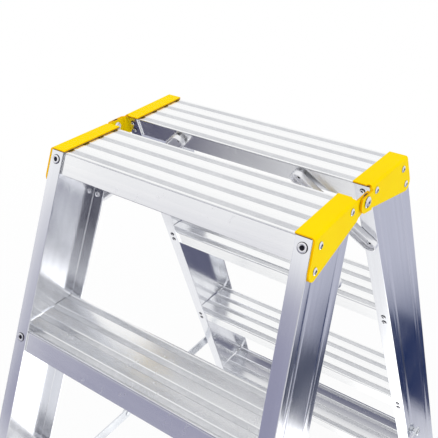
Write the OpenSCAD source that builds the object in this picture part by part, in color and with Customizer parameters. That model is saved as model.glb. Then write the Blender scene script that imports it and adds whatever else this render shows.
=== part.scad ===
// Double-sided aluminium trestle ladder with folded steel hinge brackets.
// Frame: +Z up, X along the treads, front frame at -Y, rear frame at +Y.
// The origin is on the floor, midway between the four feet.
// The two frames are mirror images, so every piece is drawn once, for the
// right side of the rear frame, and set in place by mirroring.

/* [Ladder] */
// Height of the standing surface of the top treads
top_tread_h = 940; // [930:5:1200]
// Height from one tread to the next
tread_pitch = 235; // [220:5:245]
// Lean of each frame from the vertical, in degrees
lean = 21; // [18:0.5:23]
// Sideways splay of each stile, in degrees, measured in the plane of the frame
splay = 3.34; // [2:0.1:4.5]
// Half the gap between the two frames, level with the top treads
half_gap = 17.5; // [16:0.5:24]
// Half the width over the stiles, level with the top treads
top_half_w = 185; // [165:5:230]

/* [Stiles] */
// Depth of the stile channel, across its web
stile_d = 92.4; // [80:0.2:100]
// Width of the stile flanges
stile_flange_w = 20; // [18:0.5:24]
// Thickness of the stile web
stile_web_t = 2.5; // [2:0.1:3]
// Thickness of the stile flanges
stile_flange_t = 2.5; // [2:0.1:3]
// Distance of each flute from the nearer edge of the web
flute_inset = 11; // [9:0.5:14]
// Width of each flute in the outer face of the web
flute_w = 12.5; // [8:0.5:15]
// Depth of each flute
flute_depth = 0.8; // [0.4:0.1:1.2]

/* [Treads] */
// Thickness of the top plate of a tread, between its grooves
tread_top_t = 3.2; // [2.6:0.1:4]
// Thickness of the flanges of a tread
tread_flange_t = 2; // [1.6:0.1:2.6]
// Height of the flanges of a tread
tread_flange_h = 28; // [26:0.5:34]
// Width of the lip along the lower edge of each tread flange
tread_lip_w = 5; // [4:0.5:7]
// Number of drainage grooves along a tread
groove_count = 4; // [2:1:5]
// Width of each groove
groove_w = 9; // [5:0.5:10]
// Depth of each groove
groove_depth = 1.2; // [0.6:0.1:1.4]
// Width of the narrow land at each edge of a tread
edge_land_w = 3.5; // [3:0.5:6]

/* [Hinge brackets] */
// Thickness of the folded bracket sheet
bracket_t = 2.5; // [2:0.1:3]
// Width of the bracket flange that lies on the tread
bracket_flange_w = 24.3; // [20:0.5:30]
// Inside radius of the bracket fold
fold_r = 1.5; // [1:0.1:2]
// Height of the bracket leg's round end below the tread surface
leg_depth = 35.5; // [32:0.5:45]
// Radius of the bracket leg's round end
leg_r = 10.5; // [9.5:0.5:13]
// Radius of the hinge eye
eye_r = 13.5; // [12:0.5:15]
// Depth of the hinge pivot below the tread surface
pivot_depth = 8.5; // [8:0.5:14]
// Radius of the relief notch where the flange meets the eye
relief_r = 3; // [2:0.5:4]
// Gap between the front and rear hinge eyes, filled by a washer
eye_gap = 1; // [0.8:0.1:2]

/* [Rivets and pins] */
// Radius of the hinge pivot shank
pivot_r = 4; // [3:0.1:5]
// Radius of the hinge pivot head
pivot_head_r = 6.8; // [6:0.1:8]
// Radius of the blind rivet shanks
rivet_r = 2.4; // [2:0.1:2.5]
// Radius of the blind rivet heads
rivet_head_r = 4.4; // [4:0.1:4.8]
// Distance of the bracket's first rivet from the hinge side of the frame
hinge_rivet_in = 13.5; // [12:0.5:18]
// Depth of the bracket's first rivet below the tread surface
hinge_rivet_depth = 8; // [7:0.5:10]
// Distance of the bracket's middle rivet from the outer side of the frame
edge_rivet_in = 11.5; // [9:0.5:14]
// Depth of the bracket's middle rivet below the tread surface
edge_rivet_depth = 11; // [9:0.5:14]
// Distance of the bracket's lowest rivet from the leg's round centre, towards the hinge
leg_rivet_in = 2.2; // [0:0.1:3]
// Outside radius of the tubular tread rivet
tube_r = 3.6; // [3:0.1:4]
// Radius of the tubular tread rivet's rolled head
tube_head_r = 6.2; // [5.5:0.1:7]
// Bore radius of the tubular tread rivet
tube_bore_r = 2.2; // [1.5:0.1:2.4]
// Depth of the tubular rivet below the tread surface
tube_rivet_depth = 10; // [9:0.5:13]
// Drop of the upper inner rivet below the underside of the tread's top plate
pair_drop = 5.3; // [5.3:0.1:7]
// Spacing of the two inner rivets at each tread end
pair_pitch = 13; // [11:0.5:14]
// Radius of the inner rivet heads
pair_head_r = 3.5; // [3:0.1:4.2]
// Radius of the inner rivet shanks
pair_r = 2; // [1.6:0.1:2.2]

/* [Knee braces] */
// Distance of the brace's tread rivet from the middle of the ladder, at the top tread
brace_tread_x = 93; // [70:1:110]
// Distance of the brace's tread rivet below the tread surface, along the frame
brace_tread_drop = 15; // [13:0.5:17]
// Distance of the brace's stile rivet below the tread surface, along the frame
brace_stile_drop = 98; // [80:1:120]
// Width of a knee brace
brace_w = 20; // [16:0.5:20]
// Height of the wall round a knee brace
brace_h = 8; // [5:0.5:10]
// Sheet thickness of a knee brace
brace_t = 1.8; // [1.4:0.1:2.2]

/* [Spreader arms] */
// Height of the spreader pivots above the floor
spreader_h = 350; // [300:5:380]
// Distance of the spreader pivots from the hinge side of the stile
spreader_inset = 22; // [20:0.5:30]
// Width of a spreader arm
arm_w = 20; // [16:0.5:24]
// Thickness of a spreader arm
arm_t = 3; // [2:0.1:4]
// Gap between the two arms where they lap
arm_gap = 0.6; // [0.4:0.1:1.2]
// Radius of the spreader pivot shanks
arm_pin_r = 3; // [2.4:0.1:3.5]
// Radius of the spreader pivot heads
arm_head_r = 6; // [5:0.1:7]

/* [Feet] */
// Height of the foot above the floor
foot_h = 48; // [40:1:60]
// Thickness of the sole under the stile
sole_t = 11; // [8:0.5:16]
// Wall thickness of the foot
foot_wall = 3; // [2.5:0.1:4]
// Number of grip grooves across the sole
sole_grooves = 6; // [3:1:9]
// Width of each grip groove
sole_groove_w = 5; // [3:0.5:7]
// Depth of each grip groove
sole_groove_depth = 2; // [1:0.5:3]

/* [Clearances] */
// Clearance between pieces that are assembled and riveted together
seat = 0.1; // [0.05:0.01:0.2]
// Clearance between the end of a tread and the stile web
tread_end_gap = 0.4; // [0.3:0.1:1]
// Radial clearance of a fixed rivet in its hole
rivet_fit = 0.05; // [0.03:0.01:0.1]
// Radial clearance of a turning pivot in its hole
running_fit = 0.08; // [0.05:0.01:0.1]
// Clearance between faces that turn past each other
side_gap = 0.3; // [0.3:0.05:0.5]

/* [Hidden] */
$fn = 48;

// Four treads a side; the top one is number 1.
tread_levels = 4;
// Sides of the ladder: -1 left, 1 right. Frames: -1 front, 1 rear.
left = -1;
right = 1;
front = -1;
rear = 1;
// Reach of a cutting block that has to pass everything it meets
far = 2000;
// Margin by which a cutter passes the face it cuts
eps = 1;

// Level depth of the slanted stile channel
level_d = stile_d / cos(lean);
// Fold direction of the bracket, turned in plan, and its tilt from square
toe = atan(tan(splay) * sin(lean));
tilt = asin(cos(lean) * sin(splay));
// Height of blind rivet heads and tails, and how far a tail bulges
head_h = 1.6;
tail_h = 2;
tail_bulge = 1.1;
// Height and width of the tubular rivet's rolled rims
roll_h = 1.4;
roll_w = 1.2;
// Height of the hinge pivot's heads, and of the spreader pins' heads
pivot_head_h = 2.6;
arm_head_h = 2.2;
// Length of a block that passes both ends of a stile
stile_reach = (top_tread_h + 2 * stile_d) / (cos(lean) * cos(splay));
// Depth of the upper inner rivet below the tread surface
pair_depth = tread_top_t + pair_drop;
// Middle of a stile flange, measured from the outer face of the web
flange_mid = stile_flange_w / 2;
// Level width of a tread between its outer faces, and its grooves' spacing
tread_in = (stile_flange_t + seat) / cos(lean);
tread_w = level_d - 2 * tread_in;
groove_pitch = (tread_w - 2 * edge_land_w - groove_w) / (groove_count - 1);
// Radius of the cutter that leaves a flute of the given width and depth
flute_r = (flute_w * flute_w / 4 + flute_depth * flute_depth) / (2 * flute_depth);
// Hinge eye and bracket leg circles, in depth from the hinge side and height
eye_c = [-half_gap, -pivot_depth];
leg_c = [level_d + tan(lean) * leg_depth - leg_r / cos(lean), -leg_depth];
// Bracket rivets: distance from the hinge side, and depth below the tread surface
bracket_rivets = [
    [hinge_rivet_in, hinge_rivet_depth],
    [level_d - edge_rivet_in, edge_rivet_depth],
    [leg_c[0] - leg_rivet_in, leg_depth]
];
// Inner face of the front hinge eye
eye_x = web_x(0, top_tread_h - pivot_depth) + 2 * seat;
// Spreader pivot and the layers of the two arms; the arms are square to X, so
// the splayed web comes nearer to them by half their width
spreader_y = frame_y(top_tread_h - spreader_h) + spreader_inset / cos(lean);
arm_x = web_x(spreader_y, spreader_h) + tan(splay) * arm_w / 2 + 2 * side_gap;
outer_arm_x = arm_x + arm_t + arm_gap;

// Distance of the hinge side of the frame from the middle plane, at a depth
// below the top tread surface
function frame_y(depth) = half_gap + tan(lean) * depth;

// Outer face of the stile web at a given place
function web_x(y, z) = top_half_w
    + tan(splay) * (sin(lean) * (y - half_gap) + cos(lean) * (top_tread_h - z));

// Depth below the top tread surface, turned into distance along the frame
function along(depth) = depth / cos(lean);

// Outer face of the web, in the frame's own plane, at a distance along it
function splay_x(dist) = top_half_w + tan(splay) * dist;

// Point of the lower tangent that two circles share, on the first of them
function tangent_dir(c1, r1, c2, r2) =
    let (d = c2 - c1, len = norm(d), turn = asin((r2 - r1) / len), base = atan2(d[1], d[0]))
    [sin(base - turn), -cos(base - turn)];

// Level and slope of the lower edge shared by the eye and the leg
low_dir = tangent_dir(eye_c, eye_r, leg_c, leg_r);
eye_low = eye_c + eye_r * low_dir;
leg_low = leg_c + leg_r * low_dir;
low_slope = (leg_low[1] - eye_low[1]) / (leg_low[0] - eye_low[0]);
leg_far = leg_c + leg_r * [cos(lean), sin(lean)];
function low_z(y) = eye_low[1] + low_slope * (y - eye_low[0]);

// Moves a piece of the right rear quarter to its own side and frame
module place(side, frame) {
    mirror([side < 0 ? 1 : 0, 0, 0])
        mirror([0, frame < 0 ? 1 : 0, 0])
            children();
}

// Draws a piece once on each side of one frame
module both_sides(frame) {
    for (side = [left, right]) place(side, frame) children();
}

// Plane of the frame: Y is square to the flanges, Z runs up the frame
module in_frame() {
    translate([0, half_gap, top_tread_h]) rotate([lean, 0, 0]) children();
}

// Stile's own axes: X = 0 on the outer web face, Z runs up the stile
module in_stile() {
    in_frame() translate([top_half_w, 0, 0]) rotate([0, -splay, 0]) children();
}

// Prism that follows the bracket's fold, from a section drawn in distance from
// the web's top edge and height above the tread
module along_fold() {
    translate([top_half_w, half_gap, top_tread_h]) rotate([0, 0, -toe])
        translate([0, -leg_r, 0]) rotate([90, 0, 0]) mirror([0, 0, 1])
            linear_extrude(height = level_d + leg_depth + 2 * leg_r) children();
}

// Cylinder along +X, +Y and -Y
module along_x(r, h) {
    rotate([0, 90, 0]) cylinder(r = r, h = h);
}
module along_y(r, h) {
    rotate([-90, 0, 0]) cylinder(r = r, h = h);
}

// Rivet standing on z = 0: domed head above, shank and tail below
module blind_rivet(r, head_r, grip) {
    difference() {
        rotate_extrude() polygon([
            [0, head_h], [head_r * 0.45, head_h], [head_r * 0.8, head_h * 0.75],
            [head_r, head_h * 0.2], [head_r, 0], [r, 0], [r, -grip],
            [r + tail_bulge, -grip - tail_h * 0.1], [r + tail_bulge, -grip - tail_h * 0.6],
            [r * 0.7, -grip - tail_h], [0, -grip - tail_h]
        ]);
        translate([0, 0, head_h * 0.6]) cylinder(r = head_r * 0.3, h = eps);
    }
}

// Stile channel section; the extra margin grows it for the foot's socket
module stile_section(margin) {
    difference() {
        translate([-stile_flange_w - margin, -margin])
            square([stile_flange_w + 2 * margin, stile_d + 2 * margin]);
        translate([-stile_flange_w - margin - eps, stile_flange_t + margin])
            square([stile_flange_w - stile_web_t + eps, stile_d - 2 * stile_flange_t - 2 * margin]);
    }
}

module flute(y) {
    translate([flute_r - flute_depth, y]) circle(r = flute_r, $fn = 120);
}

// Holes for everything that is riveted to one stile
module stile_holes() {
    for (n = [0 : tread_levels - 1]) {
        tread_rivet_place(n, tube_rivet_depth, 1)
            translate([0, -stile_flange_t - eps, 0]) along_y(tube_r + rivet_fit, stile_flange_t + 2 * eps);
        for (k = [0, 1])
            tread_rivet_place(n, pair_depth + k * pair_pitch * cos(lean), 0)
                translate([0, -eps, 0]) along_y(pair_r + rivet_fit, stile_flange_t + 2 * eps);
    }
    for (p = bracket_rivets)
        web_rivet_place(p) translate([-stile_web_t - eps, 0, 0])
            along_x(rivet_r + rivet_fit, stile_web_t + 2 * eps);
    for (n = [0, tread_levels - 1])
        brace_place(n) translate([brace_len(), -eps, 0])
            along_y(rivet_r + rivet_fit, stile_flange_t + 2 * eps);
    translate([0, spreader_y, spreader_h])
        translate([web_x(spreader_y, spreader_h) - 2 * stile_web_t, 0, 0])
            along_x(arm_pin_r + rivet_fit, 3 * stile_web_t);
    foot_rivet_place() translate([-stile_web_t - eps, 0, 0])
        along_x(rivet_r + rivet_fit, stile_web_t + 2 * eps);
}

// Set out a rivet in the outer (1) or hinge-side (0) flange, centred on the
// flange, with Y = 0 on the flange's outside face
module tread_rivet_place(n, depth, outer) {
    // The outer face lies lower along the frame for the same level depth.
    shift = outer * stile_d * tan(lean);
    dist = along(n * tread_pitch + depth) + shift;
    in_frame() translate([splay_x(dist) - flange_mid, outer * stile_d, -dist]) children();
}

// Set out a rivet square to the web, from its level place on the bracket
module web_rivet_place(p) {
    in_stile() translate([0, p[0] * cos(lean) - p[1] * sin(lean), -p[0] * sin(lean) - p[1] * cos(lean)])
        children();
}

// Knee brace axes: X runs from the tread rivet down to the stile rivet, with
// Y = 0 on the hinge-side face of the stile flange
function brace_start(n) = [brace_tread_x + tan(splay) * along(n * tread_pitch),
    -along(n * tread_pitch) - brace_tread_drop];
function brace_end(n) =
    let (dist = along(n * tread_pitch) + brace_stile_drop)
    [splay_x(dist) - flange_mid, -dist];
function brace_len() = norm(brace_end(0) - brace_start(0));
function brace_angle() =
    let (d = brace_end(0) - brace_start(0)) atan2(-d[1], d[0]);
module brace_place(n) {
    s = brace_start(n);
    in_frame() translate([s[0], 0, s[1]]) rotate([0, brace_angle(), 0]) children();
}

module foot_rivet_place() {
    dist = (top_tread_h - foot_h / 2 - sole_t / 2) / (cos(lean) * cos(splay)) - stile_d / 2 * tan(lean);
    in_stile() translate([0, stile_d / 2, -dist]) children();
}

module stile() {
    color("gainsboro") difference() {
        in_stile() translate([0, 0, -stile_reach])
            linear_extrude(height = stile_reach + stile_d) difference() {
                stile_section(0);
                flute(flute_inset + flute_w / 2);
                flute(stile_d - flute_inset - flute_w / 2);
            }
        translate([-far, -far, top_tread_h]) cube([2 * far, 2 * far, far]);
        translate([-far, -far, sole_t - far]) cube([2 * far, 2 * far, far]);
        // The top corner is eased to clear the inside of the bracket's fold.
        along_fold() polygon([
            [-fold_r - eps, eps], [2 * eps, -fold_r - 2 * eps], [2 * eps, eps]
        ]);
        stile_holes();
    }
}

// Tread section in depth from the hinge side and height, both flanges slanted
// with the frame
module tread_section() {
    slant = tan(lean);
    ft = tread_flange_t / cos(lean);
    low = -tread_flange_h;
    lip_z = low + tread_flange_t;
    difference() {
        polygon([
            [0, 0], [tread_w, 0],
            [tread_w - slant * low, low],
            [tread_w - slant * low - ft - tread_lip_w, low],
            [tread_w - slant * low - ft - tread_lip_w, lip_z],
            [tread_w - slant * lip_z - ft, lip_z],
            [tread_w + slant * tread_top_t - ft, -tread_top_t],
            [slant * tread_top_t + ft, -tread_top_t],
            [-slant * lip_z + ft, lip_z],
            [-slant * low + ft + tread_lip_w, lip_z],
            [-slant * low + ft + tread_lip_w, low],
            [-slant * low, low]
        ]);
        for (k = [0 : groove_count - 1])
            translate([edge_land_w + k * groove_pitch, -groove_depth])
                square([groove_w, groove_depth + eps]);
    }
}

// Tread n of one frame, with its rivet holes
module tread(n, frame) {
    depth = n * tread_pitch;
    y = frame_y(depth) + tread_in;
    half = web_x(frame_y(depth), top_tread_h - depth) - stile_web_t / cos(splay) - tread_end_gap;
    color("whitesmoke") mirror([0, frame < 0 ? 1 : 0, 0]) difference() {
        translate([-half, y, top_tread_h - depth]) rotate([90, 0, 90])
            linear_extrude(height = 2 * half) tread_section();
        for (side = [left, right]) place(side, rear) {
            tread_rivet_place(n, tube_rivet_depth, 1)
                translate([0, -stile_flange_t - tread_flange_t - 2 * eps, 0])
                    along_y(tube_r + rivet_fit, tread_flange_t + 3 * eps);
            for (k = [0, 1])
                tread_rivet_place(n, pair_depth + k * pair_pitch * cos(lean), 0)
                    translate([0, stile_flange_t - eps, 0])
                        along_y(pair_r + rivet_fit, tread_flange_t + 3 * eps);
            if (n == 0 || n == tread_levels - 1)
                brace_place(n) translate([0, stile_flange_t - eps, 0])
                    along_y(rivet_r + rivet_fit, tread_flange_t + 3 * eps);
        }
    }
}

// Section of the folded sheet: level flange, round fold and slanting side
module bracket_section() {
    ro = fold_r + bracket_t;
    // Keeps the slanting side clear of the web by the seat clearance
    shift = (seat - fold_r + fold_r * sin(tilt)) / cos(tilt) + fold_r;
    side_h = leg_depth + 2 * leg_r;
    translate([shift - fold_r, -fold_r]) difference() {
        fold_outline(ro, bracket_flange_w - ro, side_h);
        fold_outline(fold_r, bracket_flange_w, side_h + eps);
    }
}

// Region inside a fold of the given radius, with its level and slanting arms
module fold_outline(r, level, slant) {
    circle(r = r, $fn = 96);
    translate([-level, -r]) square([level, 2 * r]);
    rotate(tilt) translate([-level, -slant]) square([level + r, slant]);
}

// Side of the bracket, as a plate profile in level depth and height
module side_outline() {
    polygon([
        [0, bracket_t + eps],
        [level_d - tan(lean) * (bracket_t + eps), bracket_t + eps],
        leg_far, leg_c, leg_low, [0, low_z(0)]
    ]);
    translate(leg_c) circle(r = leg_r);
}

// Tongue and eye, clipped level with the tread surface; the tongue reaches
// from the pivot to the given depth
module eye_outline(reach) {
    intersection() {
        union() {
            translate(eye_c) circle(r = eye_r, $fn = 96);
            polygon([eye_c, [reach, eye_c[1]], [reach, low_z(reach)], eye_low]);
            translate(eye_c) square([reach - eye_c[0], pivot_depth]);
        }
        translate([eye_c[0] - 2 * eye_r, -far]) square([far, far]);
    }
}

// Turns a profile of level depth and height into a plate square to X
module plate_x(t) {
    rotate([90, 0, 90]) linear_extrude(height = t) children();
}

// One hinge bracket; the rear eye is set outside the front one by a joggle
module hinge_bracket(frame) {
    outset = frame > 0 ? bracket_t + eye_gap : 0;
    reach = frame > 0 ? -outset : eps;
    color("gold") difference() {
        union() {
            intersection() {
                along_fold() bracket_section();
                translate([top_half_w - 2 * bracket_flange_w, half_gap, top_tread_h])
                    plate_x(far) side_outline();
            }
            translate([eye_x + outset, half_gap, top_tread_h])
                plate_x(bracket_t) eye_outline(reach);
            if (frame > 0) joggle(outset);
        }
        translate([eye_x - eps, 0, top_tread_h - pivot_depth])
            along_x(pivot_r + (frame > 0 ? running_fit : rivet_fit), outset + bracket_t + 2 * eps);
        for (p = bracket_rivets)
            web_rivet_place(p) translate([-eps, 0, 0]) along_x(rivet_r + rivet_fit, bracket_t + 4 * eps);
        translate([eye_x - relief_r / 2, half_gap, top_tread_h - eps])
            cylinder(r = relief_r, h = bracket_t + 3 * eps);
    }
}

// Step at half a right angle that carries the rear eye outwards, clear of the
// front eye
module joggle(outset) {
    turn = bracket_t * tan(22.5);
    wide = 2 * outset;
    translate([eye_x, half_gap, top_tread_h]) intersection() {
        translate([0, 0, -2 * eye_r]) linear_extrude(height = 2 * eye_r) polygon([
            [outset, -outset - eps], [outset + bracket_t, -outset - eps],
            [outset + bracket_t, turn - outset], [bracket_t, turn], [bracket_t, eps],
            [0, eps], [0, 0], [outset, -outset]
        ]);
        plate_x(wide) polygon([[-wide, 0], [-wide, low_z(-wide)], [wide, low_z(wide)], [wide, 0]]);
    }
}

// Hinge pivot: inner head, shank through both eyes, domed outer head
module hinge_pivot() {
    grip = 2 * bracket_t + eye_gap + side_gap;
    color("silver") translate([eye_x, 0, top_tread_h - pivot_depth]) rotate([0, 90, 0])
        difference() {
            rotate_extrude($fn = 72) polygon([
                [0, -pivot_head_h], [pivot_head_r * 0.6, -pivot_head_h],
                [pivot_head_r * 0.85, -pivot_head_h * 0.5], [pivot_head_r * 0.85, -seat / 2],
                [pivot_r, -seat / 2], [pivot_r, grip], [pivot_head_r, grip],
                [pivot_head_r, grip + pivot_head_h * 0.3], [pivot_head_r * 0.8, grip + pivot_head_h * 0.8],
                [pivot_head_r * 0.4, grip + pivot_head_h], [0, grip + pivot_head_h]
            ]);
            translate([0, 0, grip + pivot_head_h * 0.6])
                cylinder(r = pivot_r * 0.4, h = pivot_head_h);
        }
}

module hinge_washer() {
    color("dimgray") translate([eye_x + bracket_t, 0, top_tread_h - pivot_depth])
        difference() {
            along_x(eye_r * 0.7, eye_gap - side_gap);
            translate([-eps, 0, 0]) along_x(pivot_r + running_fit, eye_gap + 2 * eps);
        }
}

module bracket_rivet_set() {
    color("silver") for (p = bracket_rivets)
        web_rivet_place(p) translate([bracket_t + 2 * seat, 0, 0]) rotate([0, 90, 0])
            blind_rivet(rivet_r, rivet_head_r, bracket_t + stile_web_t + 3 * seat);
}

// Rolled tubular rivet through the stile's and the tread's outer flanges
module tube_rivet() {
    grip = stile_flange_t + tread_flange_t + 2 * seat;
    rotate([-90, 0, 0]) rotate_extrude($fn = 60) polygon([
        [tube_bore_r, -grip - roll_h], [tube_r, -grip - roll_h],
        [tube_r + roll_w, -grip - roll_h * 0.6], [tube_r + roll_w, -grip - seat / 2],
        [tube_r, -grip - seat / 2], [tube_r, 0], [tube_head_r, 0],
        [tube_head_r, roll_h * 0.4], [tube_head_r - roll_w * 0.6, roll_h],
        [tube_bore_r + roll_w, roll_h], [tube_bore_r, roll_h * 0.4]
    ]);
}

module tube_rivet_set() {
    color("silver") for (n = [0 : tread_levels - 1])
        tread_rivet_place(n, tube_rivet_depth, 1) tube_rivet();
}

module inner_rivet_set() {
    color("darkgray") for (n = [0 : tread_levels - 1], k = [0, 1])
        tread_rivet_place(n, pair_depth + k * pair_pitch * cos(lean), 0)
            rotate([90, 0, 0])
                blind_rivet(pair_r, pair_head_r, stile_flange_t + tread_flange_t + 2 * seat);
}

// Stadium outline from the tread rivet to the stile rivet
module brace_outline(r) {
    circle(r = r);
    translate([brace_len(), 0]) circle(r = r);
    translate([0, -r]) square([brace_len(), 2 * r]);
}

// Pressed tray with round ends; its wall stands towards the hinge side
module knee_brace(n) {
    color("white") brace_place(n) difference() {
        rotate([90, 0, 0]) linear_extrude(height = brace_h) brace_outline(brace_w / 2);
        translate([0, -brace_t, 0]) rotate([90, 0, 0])
            linear_extrude(height = brace_h) brace_outline(brace_w / 2 - brace_t);
        for (x = [0, brace_len()])
            translate([x, -brace_t - eps, 0]) along_y(rivet_r + rivet_fit, brace_t + 2 * eps);
    }
}

// Rivets of one brace; the one at the tread has a shoulder that fills the
// thickness of the stile flange
module brace_rivet_pair(n) {
    brace_place(n) {
        translate([0, -brace_t, 0]) rotate([90, 0, 0])
            blind_rivet(rivet_r, rivet_head_r, brace_t + stile_flange_t + tread_flange_t + 2 * seat);
        translate([0, seat / 2, 0]) along_y(rivet_r + 2, stile_flange_t);
        translate([brace_len(), -brace_t, 0]) rotate([90, 0, 0])
            blind_rivet(rivet_r, rivet_head_r, brace_t + stile_flange_t + seat);
    }
}

module brace_rivet_set() {
    color("silver") for (n = [0, tread_levels - 1]) brace_rivet_pair(n);
}

// Keeps what lies between a level plane and the top of the foot; a cut that
// starts above the floor also passes the foot's top face
module foot_trim(low) {
    intersection() {
        children();
        translate([-far, -far, low]) cube([2 * far, 2 * far, low > 0 ? far : foot_h]);
    }
}

// Moulded shoe: outer wall, socket for the stile end and a hollow core
module foot() {
    w = stile_flange_w + 2 * foot_wall;
    d = stile_d + 2 * foot_wall;
    groove_step = level_d / sole_grooves;
    foot_y = frame_y(top_tread_h);
    color("dimgray") difference() {
        foot_trim(0) in_stile() translate([-w + foot_wall, -foot_wall, -stile_reach])
            cube([w, d, stile_reach]);
        foot_trim(sole_t - seat) in_stile() translate([0, 0, -stile_reach])
            linear_extrude(height = stile_reach) stile_section(seat);
        foot_trim(sole_t) in_stile()
            translate([-stile_flange_w, stile_flange_t + foot_wall, -stile_reach])
                cube([stile_flange_w - stile_web_t - foot_wall,
                    stile_d - 2 * stile_flange_t - 2 * foot_wall, stile_reach]);
        for (k = [0 : sole_grooves - 1])
            translate([0, foot_y + (k + 0.5) * groove_step - sole_groove_w / 2, -eps])
                cube([far, sole_groove_w, sole_groove_depth + eps]);
        foot_rivet_place() translate([-3 * foot_wall, 0, 0])
            along_x(rivet_r + rivet_fit, 6 * foot_wall);
    }
}

module foot_rivet() {
    color("silver") foot_rivet_place() translate([foot_wall, 0, 0]) rotate([0, 90, 0])
        blind_rivet(rivet_r, rivet_head_r, 2 * foot_wall + stile_web_t);
}

// Spreader arm from its stile pivot to the knuckle at the middle plane
module spreader_arm(frame) {
    x = frame > 0 ? outer_arm_x : arm_x;
    r = arm_w / 2;
    color("slategray") translate([x, 0, spreader_h]) difference() {
        union() {
            along_x(r, arm_t);
            translate([0, spreader_y, 0]) along_x(r, arm_t);
            translate([0, 0, -r]) cube([arm_t, spreader_y, arm_w]);
        }
        translate([-eps, spreader_y, 0]) along_x(arm_pin_r + running_fit, arm_t + 2 * eps);
        translate([-eps, 0, 0]) along_x(arm_pin_r + rivet_fit, arm_t + 2 * eps);
    }
}

// Shouldered pivot that carries an arm on the outside of the stile
module spreader_pivot(frame) {
    start = web_x(spreader_y, spreader_h) - stile_web_t - arm_head_h - side_gap;
    arm_face = (frame > 0 ? outer_arm_x : arm_x) - start;
    end = arm_face + arm_t + side_gap;
    color("silver") difference() {
        translate([start, spreader_y, spreader_h]) union() {
            along_x(arm_pin_r, end + arm_head_h / 2);
            along_x(arm_head_r * 0.85, arm_face - side_gap);
            translate([end, 0, 0]) pin_head();
        }
        // The web passes between the shoulder and the inner head.
        difference() {
            in_stile() translate([-stile_web_t - seat, 0, -stile_reach])
                cube([stile_web_t + 2 * seat, stile_d, stile_reach]);
            translate([0, spreader_y, spreader_h]) along_x(arm_pin_r, far);
        }
    }
}

// Domed head of a spreader pin, standing out along +X
module pin_head() {
    rotate([0, 90, 0]) rotate_extrude() polygon([
        [0, 0], [arm_head_r, 0], [arm_head_r, arm_head_h * 0.4],
        [arm_head_r * 0.75, arm_head_h], [0, arm_head_h]
    ]);
}

// Half of the knuckle rivet, in one arm only
module knuckle_rivet(outer) {
    x = outer ? outer_arm_x : arm_x;
    color("silver") translate([x + (outer ? arm_t : 0), 0, spreader_h])
        mirror([outer ? 0 : 1, 0, 0]) {
            translate([seat - arm_t, 0, 0]) along_x(arm_pin_r, arm_t);
            pin_head();
        }
}

module front_left_stile() { place(left, front) stile(); }
module front_right_stile() { place(right, front) stile(); }
module rear_left_stile() { place(left, rear) stile(); }
module rear_right_stile() { place(right, rear) stile(); }

module front_tread_1() { tread(0, front); }
module front_tread_2() { tread(1, front); }
module front_tread_3() { tread(2, front); }
module front_tread_4() { tread(3, front); }
module rear_tread_1() { tread(0, rear); }
module rear_tread_2() { tread(1, rear); }
module rear_tread_3() { tread(2, rear); }
module rear_tread_4() { tread(3, rear); }

module front_left_hinge_bracket() { place(left, front) hinge_bracket(front); }
module front_right_hinge_bracket() { place(right, front) hinge_bracket(front); }
module rear_left_hinge_bracket() { place(left, rear) hinge_bracket(rear); }
module rear_right_hinge_bracket() { place(right, rear) hinge_bracket(rear); }

module left_hinge_pivot() { place(left, front) hinge_pivot(); }
module right_hinge_pivot() { place(right, front) hinge_pivot(); }
module hinge_washers() { both_sides(front) hinge_washer(); }

module front_bracket_rivets() { both_sides(front) bracket_rivet_set(); }
module rear_bracket_rivets() { both_sides(rear) bracket_rivet_set(); }
module front_tread_tube_rivets() { both_sides(front) tube_rivet_set(); }
module rear_tread_tube_rivets() { both_sides(rear) tube_rivet_set(); }
module front_tread_inner_rivets() { both_sides(front) inner_rivet_set(); }
module rear_tread_inner_rivets() { both_sides(rear) inner_rivet_set(); }

module front_left_top_brace() { place(left, front) knee_brace(0); }
module front_right_top_brace() { place(right, front) knee_brace(0); }
module rear_left_top_brace() { place(left, rear) knee_brace(0); }
module rear_right_top_brace() { place(right, rear) knee_brace(0); }
module front_left_bottom_brace() { place(left, front) knee_brace(tread_levels - 1); }
module front_right_bottom_brace() { place(right, front) knee_brace(tread_levels - 1); }
module rear_left_bottom_brace() { place(left, rear) knee_brace(tread_levels - 1); }
module rear_right_bottom_brace() { place(right, rear) knee_brace(tread_levels - 1); }
module front_brace_rivets() { both_sides(front) brace_rivet_set(); }
module rear_brace_rivets() { both_sides(rear) brace_rivet_set(); }

module front_left_foot() { place(left, front) foot(); }
module front_right_foot() { place(right, front) foot(); }
module rear_left_foot() { place(left, rear) foot(); }
module rear_right_foot() { place(right, rear) foot(); }
module front_foot_rivets() { both_sides(front) foot_rivet(); }
module rear_foot_rivets() { both_sides(rear) foot_rivet(); }

module left_front_spreader_arm() { place(left, front) spreader_arm(front); }
module left_rear_spreader_arm() { place(left, rear) spreader_arm(rear); }
module right_front_spreader_arm() { place(right, front) spreader_arm(front); }
module right_rear_spreader_arm() { place(right, rear) spreader_arm(rear); }
module front_spreader_pivots() { both_sides(front) spreader_pivot(front); }
module rear_spreader_pivots() { both_sides(rear) spreader_pivot(rear); }
module left_knuckle_rivet_inner() { place(left, front) knuckle_rivet(false); }
module left_knuckle_rivet_outer() { place(left, rear) knuckle_rivet(true); }
module right_knuckle_rivet_inner() { place(right, front) knuckle_rivet(false); }
module right_knuckle_rivet_outer() { place(right, rear) knuckle_rivet(true); }

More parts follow.
